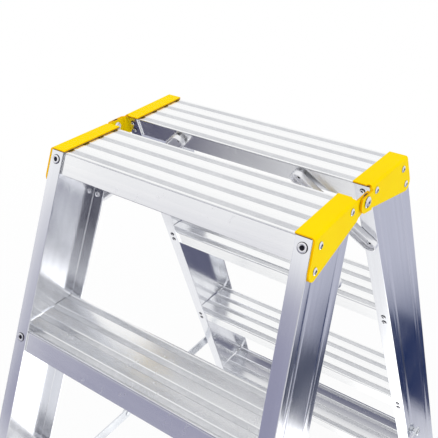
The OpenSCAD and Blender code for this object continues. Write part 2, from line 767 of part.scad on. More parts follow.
front_left_stile();
front_right_stile();
rear_left_stile();
rear_right_stile();
front_tread_1();
front_tread_2();
front_tread_3();
front_tread_4();
rear_tread_1();
rear_tread_2();
rear_tread_3();
rear_tread_4();
front_left_hinge_bracket();
front_right_hinge_bracket();
rear_left_hinge_bracket();
rear_right_hinge_bracket();
left_hinge_pivot();
right_hinge_pivot();
hinge_washers();
front_bracket_rivets();
rear_bracket_rivets();
front_tread_tube_rivets();
rear_tread_tube_rivets();
front_tread_inner_rivets();
rear_tread_inner_rivets();
front_left_top_brace();
front_right_top_brace();
rear_left_top_brace();
rear_right_top_brace();
front_left_bottom_brace();
front_right_bottom_brace();
rear_left_bottom_brace();
rear_right_bottom_brace();
front_brace_rivets();
rear_brace_rivets();
front_left_foot();
front_right_foot();
rear_left_foot();
rear_right_foot();
front_foot_rivets();
rear_foot_rivets();
left_front_spreader_arm();
left_rear_spreader_arm();
right_front_spreader_arm();
right_rear_spreader_arm();
front_spreader_pivots();
rear_spreader_pivots();
left_knuckle_rivet_inner();
left_knuckle_rivet_outer();
right_knuckle_rivet_inner();
right_knuckle_rivet_outer();
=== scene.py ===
import math

import bmesh
import bpy
from mathutils import Matrix, Vector


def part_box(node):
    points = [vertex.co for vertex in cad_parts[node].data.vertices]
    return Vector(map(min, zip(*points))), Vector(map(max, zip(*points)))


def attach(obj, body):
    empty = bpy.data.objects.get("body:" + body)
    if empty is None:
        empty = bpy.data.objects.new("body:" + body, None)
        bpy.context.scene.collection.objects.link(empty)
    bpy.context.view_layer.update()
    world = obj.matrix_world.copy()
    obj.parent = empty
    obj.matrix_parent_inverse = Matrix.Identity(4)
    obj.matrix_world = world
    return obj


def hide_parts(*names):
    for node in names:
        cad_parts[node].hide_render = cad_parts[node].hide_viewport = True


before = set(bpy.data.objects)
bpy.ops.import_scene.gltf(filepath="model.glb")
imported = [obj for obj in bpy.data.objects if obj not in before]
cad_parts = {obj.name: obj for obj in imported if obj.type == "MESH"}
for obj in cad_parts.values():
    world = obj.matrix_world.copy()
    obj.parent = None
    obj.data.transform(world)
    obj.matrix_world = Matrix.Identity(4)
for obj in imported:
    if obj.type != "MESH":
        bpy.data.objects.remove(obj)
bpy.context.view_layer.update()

# Sizes of the ladder, in metres and radians
MM = 0.001
LEAN = math.radians(21)
SPLAY = math.radians(3.34)
TREAD_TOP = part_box("rear_tread_1")[1].z
TREAD_PITCH = TREAD_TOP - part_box("rear_tread_2")[1].z
TREADS = 4
HALF_GAP = 17.5 * MM
TOP_HALF_WIDTH = 185 * MM
SOLE = 11 * MM
# Clearance between pieces that are assembled and riveted together
SEAT = 0.1 * MM

STILE_DEPTH = 92.4 * MM
STILE_FLANGE = 20 * MM
STILE_WALL = 2.5 * MM
FLUTE_INSET = 11 * MM
FLUTE_WIDTH = 12.5 * MM
FLUTE_DEPTH = 0.8 * MM
FLANGE_MIDDLE = STILE_FLANGE / 2
LEVEL_DEPTH = STILE_DEPTH / math.cos(LEAN)
BAR_LENGTH = 1.12 * TREAD_TOP

TREAD_IN = (STILE_WALL + SEAT) / math.cos(LEAN)
TREAD_WIDTH = LEVEL_DEPTH - 2 * TREAD_IN
TREAD_HEIGHT = 28 * MM
TREAD_PLATE = 3.2 * MM
TREAD_WALL = 2 * MM
TREAD_LIP = 5 * MM
GROOVES = 4
GROOVE_WIDTH = 9 * MM
GROOVE_DEPTH = 1.2 * MM
EDGE_LAND = 3.5 * MM
# How much wider a groove is drawn on each side, and the run of its sloped sides
GROOVE_SPILL = 0.8 * MM
GROOVE_SLOPE = 1.8 * MM
RIBS = 4
RIB_HEIGHT = 0.35 * MM
SHADOW_LINE_DROP = 1.7 * MM
SHADOW_LINE_WIDTH = 0.6 * MM
SHADOW_LINE_DEPTH = 0.5 * MM

SHEET = 2.5 * MM
BRACKET_FLANGE = 24.3 * MM
FOLD = 1.5 * MM
LEG_DEPTH = 35.5 * MM
LEG_RADIUS = 10.5 * MM
EYE_RADIUS = 13.5 * MM
PIVOT_DEPTH = 8.5 * MM
EYE_GAP = 1 * MM
NOTCH = 3 * MM
# Length over which a front bracket's sheet turns square into its eye
FRONT_RAMP = 6 * MM
# Height of the line round the flange that is painted as a contact shadow, partly joint dirt
JOINT_LINE = 0.9 * MM

BRACE_WIDTH = 20 * MM
BRACE_HEIGHT = 8 * MM
BRACE_SHEET = 1.8 * MM
BRACE_TREAD_X = 93 * MM
BRACE_TREAD_DROP = 15 * MM
BRACE_STILE_DROP = 98 * MM

STAY_HEIGHT = 350 * MM
STAY_INSET = 22 * MM
ARM_WIDTH = 20 * MM
ARM_SHEET = 3 * MM
# Gap between the two arms of a stay, and beside pieces that turn
ARM_GAP = 0.6 * MM
SIDE_GAP = 0.3 * MM

FOOT_WALL = 3 * MM

# Signs of X on each side and of Y at each end
SIDES = {"left": -1, "right": 1}
ENDS = {"front": -1, "rear": 1}


# Places, all given for the right side of the rear frame

def along(depth):
    """Depth below the top treads, turned into distance along the leaning frame."""
    return depth / math.cos(LEAN)


def splay_x(distance):
    """Outer face of the stile's web, at a distance along the frame."""
    return TOP_HALF_WIDTH + math.tan(SPLAY) * distance


def web_x(y, z):
    """Outer face of the stile's web, at a place given by Y and height."""
    return splay_x(math.sin(LEAN) * (y - HALF_GAP) + math.cos(LEAN) * (TREAD_TOP - z))


def frame_y(depth):
    """Hinge side of the frame, at a depth below the top treads."""
    return HALF_GAP + math.tan(LEAN) * depth


def move(x, y, z):
    return Matrix.Translation((x, y, z))


def turn(degrees, axis):
    return Matrix.Rotation(math.radians(degrees), 4, axis)


FRAME_AXES = move(0, HALF_GAP, TREAD_TOP) @ Matrix.Rotation(LEAN, 4, "X")
STILE_AXES = FRAME_AXES @ move(TOP_HALF_WIDTH, 0, 0) @ Matrix.Rotation(-SPLAY, 4, "Y")
OUTWARD = turn(90, "Y")
INWARD = turn(-90, "Y")
TO_OUTER_SIDE = turn(-90, "X")
TO_HINGE_SIDE = turn(90, "X")


def tread_rivet_axes(number, depth, outer):
    """Place of a rivet in the outer (1) or the hinge-side (0) flange of tread 1, 2 and so on."""
    distance = along((number - 1) * TREAD_PITCH + depth) + outer * STILE_DEPTH * math.tan(LEAN)
    return FRAME_AXES @ move(splay_x(distance) - FLANGE_MIDDLE, outer * STILE_DEPTH, -distance)


def web_axes(depth, drop):
    """Place on the web's outer face, from a level depth and a drop below the top tread."""
    across = depth * math.cos(LEAN) - drop * math.sin(LEAN)
    down = depth * math.sin(LEAN) + drop * math.cos(LEAN)
    return STILE_AXES @ move(0, across, -down)


def brace_ends(number):
    """Tread rivet and stile rivet of a knee brace, in the plane of the frame."""
    distance = along((number - 1) * TREAD_PITCH)
    start = Vector((BRACE_TREAD_X + math.tan(SPLAY) * distance, 0, -distance - BRACE_TREAD_DROP))
    low = distance + BRACE_STILE_DROP
    return start, Vector((splay_x(low) - FLANGE_MIDDLE, 0, -low))


BRACE_LENGTH = (brace_ends(1)[1] - brace_ends(1)[0]).length


def brace_axes(number):
    """Axes of a knee brace: X runs from its tread rivet down to its stile rivet."""
    start, stop = brace_ends(1)
    slope = math.atan2(start.z - stop.z, stop.x - start.x)
    return FRAME_AXES @ Matrix.Translation(brace_ends(number)[0]) @ Matrix.Rotation(slope, 4, "Y")


EYE_X = web_x(0, TREAD_TOP - PIVOT_DEPTH) + 2 * SEAT
STAY_Y = frame_y(TREAD_TOP - STAY_HEIGHT) + STAY_INSET / math.cos(LEAN)
INNER_ARM_X = web_x(STAY_Y, STAY_HEIGHT) + math.tan(SPLAY) * ARM_WIDTH / 2 + 2 * SIDE_GAP
OUTER_ARM_X = INNER_ARM_X + ARM_SHEET + ARM_GAP
ARM_X = {"front": INNER_ARM_X, "rear": OUTER_ARM_X}


def quarter(side, end):
    """Mirror that sets a piece of the right rear quarter in its own quarter."""
    return Matrix.Diagonal((SIDES[side], ENDS[end], 1, 1))


# Meshes

def arc(centre, radius, start, stop, steps):
    """Points of an arc from one angle to another, in radians."""
    points = []
    for i in range(steps + 1):
        a = start + (stop - start) * i / steps
        points.append((centre[0] + radius * math.cos(a), centre[1] + radius * math.sin(a)))
    return points


def rounded(corners, steps=3):
    """Outline whose corners, each (x, y, radius), are turned into arcs."""
    points = []
    count = len(corners)
    for i, (x, y, radius) in enumerate(corners):
        here = Vector((x, y))
        back = Vector(corners[i - 1][:2]) - here
        ahead = Vector(corners[(i + 1) % count][:2]) - here
        half = back.angle(ahead) / 2
        radius = min(radius, 0.45 * min(back.length, ahead.length) * math.tan(half))
        if radius < 1e-6 or half > math.radians(88):
            points.append((x, y))
            continue
        reach = radius / math.tan(half)
        first = here + back.normalized() * reach
        last = here + ahead.normalized() * reach
        middle = here + (back.normalized() + ahead.normalized()).normalized() * radius / math.sin(half)
        a0 = math.atan2(first.y - middle.y, first.x - middle.x)
        a1 = math.atan2(last.y - middle.y, last.x - middle.x)
        while a1 - a0 > math.pi:
            a1 -= 2 * math.pi
        while a1 - a0 < -math.pi:
            a1 += 2 * math.pi
        points += arc(middle, radius, a0, a1, steps)
    return points


def skin(bm, rings, closed_ends=True, materials=None):
    """Joins rings of equally many points with quads; closed ends are filled."""
    for k, (low, high) in enumerate(zip(rings, rings[1:])):
        for i in range(len(low)):
            j = (i + 1) % len(low)
            face = bm.faces.new((low[i], low[j], high[j], high[i]))
            face.material_index = materials[k] if materials else 0
    if closed_ends:
        bm.faces.new(list(reversed(rings[0])))
        bm.faces.new(rings[-1])


def extruded(outline, start, stop, stations=2):
    """Closed bar with the outline in X and Y and its length along Z."""
    bm = bmesh.new()
    rings = []
    for k in range(stations):
        z = start + (stop - start) * k / (stations - 1)
        rings.append([bm.verts.new((x, y, z)) for x, y in outline])
    skin(bm, rings)
    bmesh.ops.recalc_face_normals(bm, faces=bm.faces)
    return bm


def hoop(bm, radius, height, axes, segments):
    """Points of a circle round the axis, at a height."""
    angles = [2 * math.pi * i / segments for i in range(segments)]
    return [bm.verts.new(axes @ Vector((radius * math.cos(a), radius * math.sin(a), height))) for a in angles]


def turned(bm, profile, axes, parts=None, segments=40):
    """Adds a turned solid: profile of (radius, height) pairs that starts and ends on the axis.
    The parts are the material numbers of its bands."""
    first, last = [bm.verts.new(axes @ Vector((0, 0, profile[k][1]))) for k in (0, -1)]
    rings = [hoop(bm, radius, height, axes, segments) for radius, height in profile[1:-1]]
    parts = parts or [0] * (len(profile) - 1)
    skin(bm, rings, False, parts[1:-1])
    caps = ((first, rings[0], True, parts[0]), (last, rings[-1], False, parts[-1]))
    for tip, loop, flip, part in caps:
        for i in range(segments):
            j = (i + 1) % segments
            corners = (loop[j], loop[i], tip) if flip else (loop[i], loop[j], tip)
            bm.faces.new(corners).material_index = part


def turned_ring(bm, profile, axes, segments):
    """Adds a turned ring: closed profile of (radius, height) pairs that stays off the axis."""
    rings = [hoop(bm, radius, height, axes, segments) for radius, height in profile]
    skin(bm, rings + rings[:1], False)


def cut_level(bm, height, keep_below):
    """Cuts a mesh with a level plane and closes the cut."""
    side = 1 if keep_below else -1
    whole = bm.verts[:] + bm.edges[:] + bm.faces[:]
    result = bmesh.ops.bisect_plane(bm, geom=whole, plane_co=(0, 0, height), plane_no=(0, 0, side),
                                    clear_outer=True, dist=1e-7)
    edges = [e for e in result["geom_cut"] if isinstance(e, bmesh.types.BMEdge)]
    bmesh.ops.edgenet_fill(bm, edges=edges)


def slice_across(bm, axis, places):
    """Adds loops of edges square to an axis, without opening the mesh."""
    normal = Vector((0, 0, 0))
    normal[axis] = 1
    for place in places:
        whole = bm.verts[:] + bm.edges[:] + bm.faces[:]
        bmesh.ops.bisect_plane(bm, geom=whole, plane_co=normal * place, plane_no=normal, dist=1e-7)


def ease_edges(bm, width):
    """Rounds the sharp edges by a small width."""
    sharp = math.radians(32)
    bm.normal_update()
    edges = [e for e in bm.edges if len(e.link_faces) == 2 and e.calc_face_angle(0) > sharp]
    bmesh.ops.bevel(bm, geom=edges, offset=width, offset_type="OFFSET", segments=2, profile=0.5,
                    affect="EDGES", clamp_overlap=True)


def keep_grain(bm, axes=None):
    """Stores each point for the finish to use, in given axes whose Z runs along the grain, if any."""
    layer = bm.verts.layers.float_vector.new("grain")
    back = axes.inverted() if axes else Matrix.Identity(4)
    for v in bm.verts:
        v[layer] = back @ v.co


def settle(bm, matrix):
    """Moves a mesh and keeps its faces outward through a mirror."""
    bm.transform(matrix)
    if matrix.determinant() < 0:
        bmesh.ops.reverse_faces(bm, faces=bm.faces)


def new_object(name, data):
    made = bpy.data.objects.new(name, data)
    bpy.context.scene.collection.objects.link(made)
    return made


def piece(name, bm, body, nodes, materials, angle=30):
    """Makes the object, sets it on its body and lets it stand for its CAD nodes."""
    mesh = bpy.data.meshes.new(name)
    bm.normal_update()
    bm.to_mesh(mesh)
    bm.free()
    mesh.polygons.foreach_set("use_smooth", [True] * len(mesh.polygons))
    mesh.set_sharp_from_angle(angle=math.radians(angle))
    for material in materials:
        mesh.materials.append(material)
    made = new_object(name, mesh)
    weigh = made.modifiers.new("even_shading", "WEIGHTED_NORMAL")
    weigh.keep_sharp = True
    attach(made, body)
    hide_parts(*nodes)


# Shader nodes, and the groups that several finishes share

def connect(tree, value, socket):
    """Links an input to the socket that is given, or sets it to a plain value."""
    if isinstance(value, bpy.types.NodeSocket):
        tree.links.new(value, socket)
    else:
        socket.default_value = value


def node(tree, kind, **values):
    """New shader node; values with a capital letter go to its inputs, the others are its settings."""
    made = tree.nodes.new(kind)
    for key, value in values.items():
        if key[0].isupper():
            connect(tree, value, made.inputs[key.replace("_", " ")])
        else:
            setattr(made, key, value)
    return made


def noise(tree, vector, scale, detail=2.0, roughness=0.5, distortion=0.0):
    made = node(tree, "ShaderNodeTexNoise", Vector=vector, Scale=scale, Detail=detail,
                Roughness=roughness, Distortion=distortion)
    return made.outputs["Fac"]


def spread(tree, value, low, high, from_low=0.3, from_high=0.7):
    """Maps a value from one range to another, clamped."""
    span = node(tree, "ShaderNodeMapRange", Value=value, From_Min=from_low, From_Max=from_high,
                To_Min=low, To_Max=high)
    return span.outputs[0]


def maths(tree, operation, *values, kind="ShaderNodeMath"):
    """Number that a maths node makes of its values, which are numbers or sockets."""
    made = node(tree, kind, operation=operation)
    for socket, value in zip(made.inputs, values):
        connect(tree, value, socket)
    return made.outputs["Value"]


def group_tree(name, outputs, **inputs):
    """Empty shader group with a vector input and other inputs with their usual values; its
    outputs are plain values."""
    tree = bpy.data.node_groups.new(name, "ShaderNodeTree")
    new_socket = tree.interface.new_socket
    new_socket("Vector", in_out="INPUT", socket_type="NodeSocketVector")
    for label, value in inputs.items():
        socket = new_socket(label.replace("_", " "), in_out="INPUT", socket_type="NodeSocketFloat")
        socket.default_value = value
    for label in outputs:
        new_socket(label, in_out="OUTPUT", socket_type="NodeSocketFloat")
    return tree, tree.nodes.new("NodeGroupInput").outputs, tree.nodes.new("NodeGroupOutput").inputs


def draw_lines_group():
    """Marks of the extrusion die: fine lines and broad soft bands along the grain."""
    tree, given, result = group_tree("Draw lines", ["Lines", "Bands"], Fineness=900.0, Length=2.5)
    stretch = node(tree, "ShaderNodeCombineXYZ", X=given["Fineness"], Y=given["Fineness"], Z=given["Length"])
    drawn = node(tree, "ShaderNodeVectorMath", operation="MULTIPLY")
    connect(tree, given["Vector"], drawn.inputs[0])
    connect(tree, stretch.outputs[0], drawn.inputs[1])
    broad = node(tree, "ShaderNodeVectorMath", operation="SCALE", Scale=0.09)
    connect(tree, drawn.outputs[0], broad.inputs[0])
    connect(tree, noise(tree, drawn.outputs[0], 1.0, 3.0, 0.7), result["Lines"])
    connect(tree, noise(tree, broad.outputs[0], 1.0), result["Bands"])
    return tree


def handling_group():
    """Sparse scuffs and a soft haze of handling, as masks from 0 to 1."""
    tree, given, result = group_tree("Handling marks", ["Scuffs", "Haze"], Scuff_scale=60.0, Haze_scale=9.0)
    scuffs = noise(tree, given["Vector"], given["Scuff scale"], 4.0, 0.6, 1.2)
    connect(tree, spread(tree, scuffs, 0, 1, 0.64, 0.74), result["Scuffs"])
    connect(tree, noise(tree, given["Vector"], given["Haze scale"], 3.0), result["Haze"])
    return tree


def grit_group():
    """Fine even grain of coated, plated and moulded surfaces, as a height."""
    tree, given, result = group_tree("Fine grit", ["Height"], Scale=1500.0)
    connect(tree, noise(tree, given["Vector"], given["Scale"]), result["Height"])
    return tree


def edge_wear_group():
    """Mask of the outer edges, broken up by noise, where handling rubs the surface."""
    tree, given, result = group_tree("Edge wear", ["Wear"], Radius=0.0008, Patch_scale=120.0)
    soft = node(tree, "ShaderNodeBevel", samples=4, Radius=given["Radius"])
    plain = node(tree, "ShaderNodeNewGeometry")
    match = maths(tree, "DOT_PRODUCT", soft.outputs[0], plain.outputs["Normal"], kind="ShaderNodeVectorMath")
    patches = noise(tree, given["Vector"], given["Patch scale"], 3.0)
    patches = spread(tree, patches, 0.2, 1, 0.35, 0.6)
    edge = spread(tree, match, 1, 0, 0.86, 0.995)
    connect(tree, maths(tree, "MULTIPLY", edge, patches), result["Wear"])
    return tree


DRAW_LINES = draw_lines_group()
HANDLING = handling_group()
GRIT = grit_group()
EDGE_WEAR = edge_wear_group()


def use_group(tree, group, vector, **values):
    """Outputs of a shared group, which keeps its usual values where none are given."""
    return node(tree, "ShaderNodeGroup", node_tree=group, Vector=vector, **values).outputs


# Finishes

def new_material(name):
    """New material with an empty node tree, and the socket that its surface goes into."""
    material = bpy.data.materials.new(name)
    material.use_nodes = True
    tree = material.node_tree
    tree.nodes.clear()
    return material, tree, node(tree, "ShaderNodeOutputMaterial").inputs["Surface"]


def new_finish(name, **values):
    """New material, its shader's inputs and the points that keep_grain stored in the mesh."""
    material, tree, surface = new_material(name)
    shader = node(tree, "ShaderNodeBsdfPrincipled", **values)
    connect(tree, shader.outputs[0], surface)
    grain = node(tree, "ShaderNodeAttribute", attribute_name="grain")
    return material, tree, shader.inputs, grain.outputs["Vector"]


def tone(tree, value, low, high):
    """Colour between two tones, from a noise value."""
    ramp = node(tree, "ShaderNodeValToRGB")
    for element, place, colour in zip(ramp.color_ramp.elements, (0.3, 0.7), (low, high)):
        element.position = place
        element.color = (*colour, 1)
    connect(tree, value, ramp.inputs[0])
    return ramp.outputs[0]


def blend_to(tree, mask, base, colour):
    """Base colour that turns to another colour where the mask is 1."""
    mix = node(tree, "ShaderNodeMix", data_type="RGBA", Factor=mask, A=base, B=(*colour, 1))
    return mix.outputs["Result"]


def bump(tree, height, strength, distance):
    return node(tree, "ShaderNodeBump", Strength=strength, Distance=distance, Height=height).outputs[0]


# Grey of the painted shade in the tread grooves
GROOVE_SHADE_GREY = (0.58, 0.59, 0.62)
RUBBED_ALUMINIUM = (0.96, 0.96, 0.97)
RUBBED_PLATING = (0.93, 0.93, 0.94)
RUBBED_RUBBER = (0.09, 0.09, 0.092)


def groove_painted_shade(tree, vector, haze, depth):
    """Mask of painted shade in the grooves: full near their floor at a depth below the tread's top, and
    patchy.
    """
    height = node(tree, "ShaderNodeSeparateXYZ", Vector=vector).outputs["Y"]
    sunk = spread(tree, height, 1, 0, -0.8 * depth, -0.04 * depth)
    above_flanges = spread(tree, height, 0, 1, -2.6 * MM, -1.8 * MM)
    patchy = spread(tree, haze, 0.65, 1.0)
    return maths(tree, "MULTIPLY", maths(tree, "MULTIPLY", sunk, above_flanges), patchy)


def drawn_aluminium(name, low, high, rough, grooves=None, **die):
    """Bare aluminium with the draw lines of its die, soft bands, handling haze, bright worn edges
    and, where it has grooves of a depth, painted grey shade that deepens towards their floor."""
    material, tree, shader, vector = new_finish(name, Metallic=1.0)
    lines = use_group(tree, DRAW_LINES, vector, **die)
    marks = use_group(tree, HANDLING, vector)
    wear = use_group(tree, EDGE_WEAR, vector)
    bands = maths(tree, "MULTIPLY", lines["Bands"], 0.65)
    colour = tone(tree, maths(tree, "MULTIPLY_ADD", lines["Lines"], 0.35, bands), low, high)
    if grooves:
        # The grooves are greyed towards their floor as painted shade.
        colour = blend_to(tree, groove_painted_shade(tree, vector, marks["Haze"], grooves), colour, GROOVE_SHADE_GREY)
    connect(tree, blend_to(tree, wear["Wear"], colour, RUBBED_ALUMINIUM), shader["Base Color"])
    hazy = spread(tree, marks["Haze"], rough - 0.03, rough + 0.05)
    connect(tree, maths(tree, "MULTIPLY_ADD", marks["Scuffs"], 0.08, hazy), shader["Roughness"])
    connect(tree, bump(tree, lines["Lines"], 0.10, 0.0001), shader["Normal"])
    return material


def rubbed_finish(name, low, high, worn, scuffs, clouds, edges, grain, relief, **values):
    """Cloudy tones, edges rubbed to the worn colour, and a fine grain. Scuffs, clouds and grain are
    scales, edges are the edge wear's values, and relief is the grain's strength and height."""
    material, tree, shader, vector = new_finish(name, **values)
    marks = use_group(tree, HANDLING, vector, Scuff_scale=scuffs, Haze_scale=clouds)
    wear = use_group(tree, EDGE_WEAR, vector, **edges)
    fine = use_group(tree, GRIT, vector, Scale=grain)
    tones = tone(tree, marks["Haze"], low, high)
    connect(tree, blend_to(tree, wear["Wear"], tones, worn), shader["Base Color"])
    connect(tree, bump(tree, fine["Height"], *relief), shader["Normal"])
    return material, tree, shader["Roughness"], marks


def powder_coat(name, low, high, worn):
    """Powder coat: slight orange peel, soft tone changes, small scuffs and edges rubbed to a deeper tone."""
    material, tree, roughness, marks = rubbed_finish(
        name, low, high, worn, scuffs=85.0, clouds=14.0, edges={"Radius": 0.0006},
        grain=420.0, relief=(0.10, 0.0003), Specular_IOR_Level=0.02)
    connect(tree, spread(tree, marks["Scuffs"], 0.42, 0.56, 0, 1), roughness)
    return material


def plated(name, low, high, rough, worn=RUBBED_PLATING, grit=700.0, relief=0.08, cloud=90.0):
    """Plated steel: cloudy tone, fine grain and rubbed edges. Grit and cloud are the scales of the
    grain and of the cloudy tone, and relief is how much of the grain is felt."""
    material, tree, roughness, marks = rubbed_finish(
        name, low, high, worn, scuffs=160.0, clouds=cloud,
        edges={"Radius": 0.0004, "Patch_scale": 400.0}, grain=grit, relief=(relief, 0.0002), Metallic=1.0)
    connect(tree, spread(tree, marks["Haze"], rough - 0.05, rough + 0.08), roughness)
    return material


def moulded(name, low, high, rough):
    """Moulded rubber or plastic, and the bracket joint's painted contact shadow, partly dirt: dull, with a
    fine grain and greyer rubbed edges.
    """
    material, tree, roughness, marks = rubbed_finish(
        name, low, high, RUBBED_RUBBER, scuffs=45.0, clouds=22.0, edges={"Radius": 0.0015},
        grain=1300.0, relief=(0.25, 0.0003))
    connect(tree, spread(tree, marks["Haze"], rough - 0.06, rough + 0.08), roughness)
    return material


STILE_METAL = drawn_aluminium("Stile aluminium", (0.78, 0.79, 0.83), (0.90, 0.91, 0.94), 0.16)
TREAD_METAL = drawn_aluminium("Tread aluminium", (0.90, 0.91, 0.92), (0.98, 0.98, 0.98), 0.23,
                              grooves=GROOVE_DEPTH)
BRACE_METAL = drawn_aluminium("Pressed aluminium", (0.80, 0.81, 0.84), (0.92, 0.92, 0.94), 0.33,
                              Fineness=500.0, Length=40.0)
YELLOW = powder_coat("Yellow powder coat", (0.98, 0.68, 0.0), (1.0, 0.73, 0.0), (1.0, 0.56, 0.0))
# Darker orange copy of the coat for the sheet's cut edges: painted shade.
YELLOW_SHADED_EDGE = powder_coat("Coat on the sheet edge, darkened as painted shade", (0.80, 0.36, 0.0), (0.95, 0.52, 0.0),
                          (0.70, 0.26, 0.01))
# Dark brown line where the bracket meets the tread: painted contact shadow, partly joint dirt.
JOINT_SHADOW_AND_DIRT = moulded("Painted shadow and dirt line in the bracket joint", (0.10, 0.05, 0.012), (0.22, 0.12, 0.03), 0.60)
RIVET = plated("Bright rivet metal", (0.66, 0.66, 0.70), (0.90, 0.90, 0.92), 0.16)
# Near-black steel of the mandrel ends, also used as painted shade in rivet seats, bores and sunk middles.
MANDREL_AND_SHADE = plated("Dark steel mandrel and painted shade", (0.012, 0.012, 0.018), (0.04, 0.04, 0.055), 0.42,
                 worn=(0.10, 0.10, 0.12))
ZINC = plated("Zinc plated steel", (0.64, 0.66, 0.70), (0.76, 0.78, 0.81), 0.26,
              grit=420.0, relief=0.03, cloud=35.0)
RUBBER = moulded("Black rubber", (0.018, 0.018, 0.020), (0.040, 0.040, 0.043), 0.62)
WASHER = moulded("Dark washer plastic", (0.020, 0.016, 0.014), (0.045, 0.036, 0.030), 0.45)


# Stiles

def flute(middle):
    """Shallow hollow along the outer face of the web, from its low to its high edge."""
    half = FLUTE_WIDTH / 2
    radius = (half * half + FLUTE_DEPTH * FLUTE_DEPTH) / (2 * FLUTE_DEPTH)
    reach = math.asin(half / radius)
    return arc((radius - FLUTE_DEPTH, middle), radius, math.pi + reach, math.pi - reach, 8)


def stile_outline():
    """Channel section: web on X = 0, flanges towards -X, hinge side at Y = 0."""
    wall, width, depth = STILE_WALL, STILE_FLANGE, STILE_DEPTH
    tip, inner, outer = 0.7 * MM, 1.2 * MM, 1.0 * MM
    outline = rounded([
        (0, 0, outer), (0, depth, outer), (-width, depth, tip), (-width, depth - wall, tip),
        (-wall, depth - wall, inner), (-wall, wall, inner), (-width, wall, tip), (-width, 0, tip),
    ])
    split = next(i for i, point in enumerate(outline) if point[1] > depth / 2)
    middle = FLUTE_INSET + FLUTE_WIDTH / 2
    return outline[:split] + flute(middle) + flute(depth - middle) + outline[split:]


def make_stile(side, end):
    """Channel bar, drawn too long at both ends, then cut level at the top tread and in its foot."""
    name = f"{end}_{side}_stile"
    bm = extruded(stile_outline(), -BAR_LENGTH, STILE_DEPTH)
    bm.transform(STILE_AXES)
    cut_level(bm, TREAD_TOP, True)
    cut_level(bm, SOLE, False)
    keep_grain(bm, STILE_AXES)
    settle(bm, quarter(side, end))
    piece("extruded_" + name, bm, end + "_frame", [name], [STILE_METAL])


# Treads

def tread_top(depth):
    """Grooved top of a tread from its hinge side to its outer side; each groove floor has fine ribs."""
    corner, brow, foot = 0.8 * MM, 0.6 * MM, 0.4 * MM
    crest, valley = 0.15 * MM, 0.1 * MM
    pitch = (depth - 2 * EDGE_LAND - GROOVE_WIDTH) / (GROOVES - 1)
    points = [(0, 0, corner)]
    for k in range(GROOVES):
        start = EDGE_LAND + k * pitch - GROOVE_SPILL
        stop = start + GROOVE_WIDTH + 2 * GROOVE_SPILL
        points += [(start, 0, brow), (start + GROOVE_SLOPE, -GROOVE_DEPTH, foot)]
        step = (stop - start - 2 * GROOVE_SLOPE) / RIBS
        for i in range(RIBS):
            low = start + GROOVE_SLOPE + i * step
            points.append((low + step / 2, -GROOVE_DEPTH + RIB_HEIGHT, crest))
            points.append((low + step, -GROOVE_DEPTH, valley))
        points.append((stop, 0, brow))
    points.append((depth, 0, corner))
    return points


def tread_outline():
    """Tread section in depth from the hinge side and height, with flanges that lean with the frame."""
    edge, lip_fillet, plate_fillet = 0.7 * MM, 0.6 * MM, 1.2 * MM
    width, wall = TREAD_WIDTH, TREAD_WALL / math.cos(LEAN)
    low, lip, hook = -TREAD_HEIGHT, TREAD_WALL - TREAD_HEIGHT, wall + TREAD_LIP
    # A thin shadow line runs along the outer flange, just below the top.
    line_top, line_low = -SHADOW_LINE_DROP, -SHADOW_LINE_DROP - SHADOW_LINE_WIDTH
    upright = [
        (width, line_top, 0), (width - SHADOW_LINE_DEPTH, (line_top + line_low) / 2, 0), (width, line_low, 0),
        (width, low, edge), (width - hook, low, edge), (width - hook, lip, edge),
        (width - wall, lip, lip_fillet), (width - wall, -TREAD_PLATE, plate_fillet),
        (wall, -TREAD_PLATE, plate_fillet), (wall, lip, lip_fillet),
        (hook, lip, edge), (hook, low, edge), (0, low, edge),
    ]
    leaning = [(x - math.tan(LEAN) * z, z, radius) for x, z, radius in upright]
    return rounded(tread_top(width) + leaning, 2)


def make_tread(number, end):
    """Grooved channel: its section's X becomes depth, its Y height, and its length runs along X."""
    name = f"{end}_tread_{number}"
    low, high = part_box(name)
    stand = Matrix(((0, 0, 1, 0), (1, 0, 0, 0), (0, 1, 0, 0), (0, 0, 0, 1)))
    depth = (number - 1) * TREAD_PITCH
    axes = move(0, frame_y(depth) + TREAD_IN, TREAD_TOP - depth) @ stand
    bm = extruded(tread_outline(), low.x, high.x, 6)
    bm.transform(axes)
    keep_grain(bm, axes)
    settle(bm, quarter("right", end))
    piece("grooved_" + name, bm, end + "_frame", [name], [TREAD_METAL], 20)


# Hinge brackets, cut as a flat sheet and folded

# Direction of the fold, turned in plan, and the side's tilt from square
FOLD_TOE = math.atan(math.tan(SPLAY) * math.sin(LEAN))
FOLD_TILT = math.asin(math.cos(LEAN) * math.sin(SPLAY))
FOLD_MIDDLE = FOLD + SHEET / 2
FOLD_ARC = (math.pi / 2 - FOLD_TILT) * FOLD_MIDDLE
FOLD_X = (SEAT - FOLD + FOLD * math.sin(FOLD_TILT)) / math.cos(FOLD_TILT)
EYE_CENTRE = Vector((-HALF_GAP, -PIVOT_DEPTH))
LEG_CENTRE = Vector((LEVEL_DEPTH + math.tan(LEAN) * LEG_DEPTH - LEG_RADIUS / math.cos(LEAN), -LEG_DEPTH))
FOLD_STEPS = 8
# Places along a bracket where its sheet is sliced, so that its tongue can step out to the eye
TONGUE_SLICES = [y * MM for y in (1.6, 1.04, 0.5, 0, -0.8, -1.75, -2.46, -3, -3.5, -4.5, -6)]
# Bracket slots: the coat, a darker copy of it on the cut edges as painted shade, and the painted contact
# shadow line, partly joint dirt, low on the flange's edges.
COAT, SHADED_EDGE_COAT, SHADOW_AND_DIRT = range(3)


def unfolded(z):
    """Distance down the flat sheet, from the start of the fold, of a height on the side."""
    return FOLD_ARC + (-FOLD + FOLD_MIDDLE * math.sin(FOLD_TILT) - z) / math.cos(FOLD_TILT)


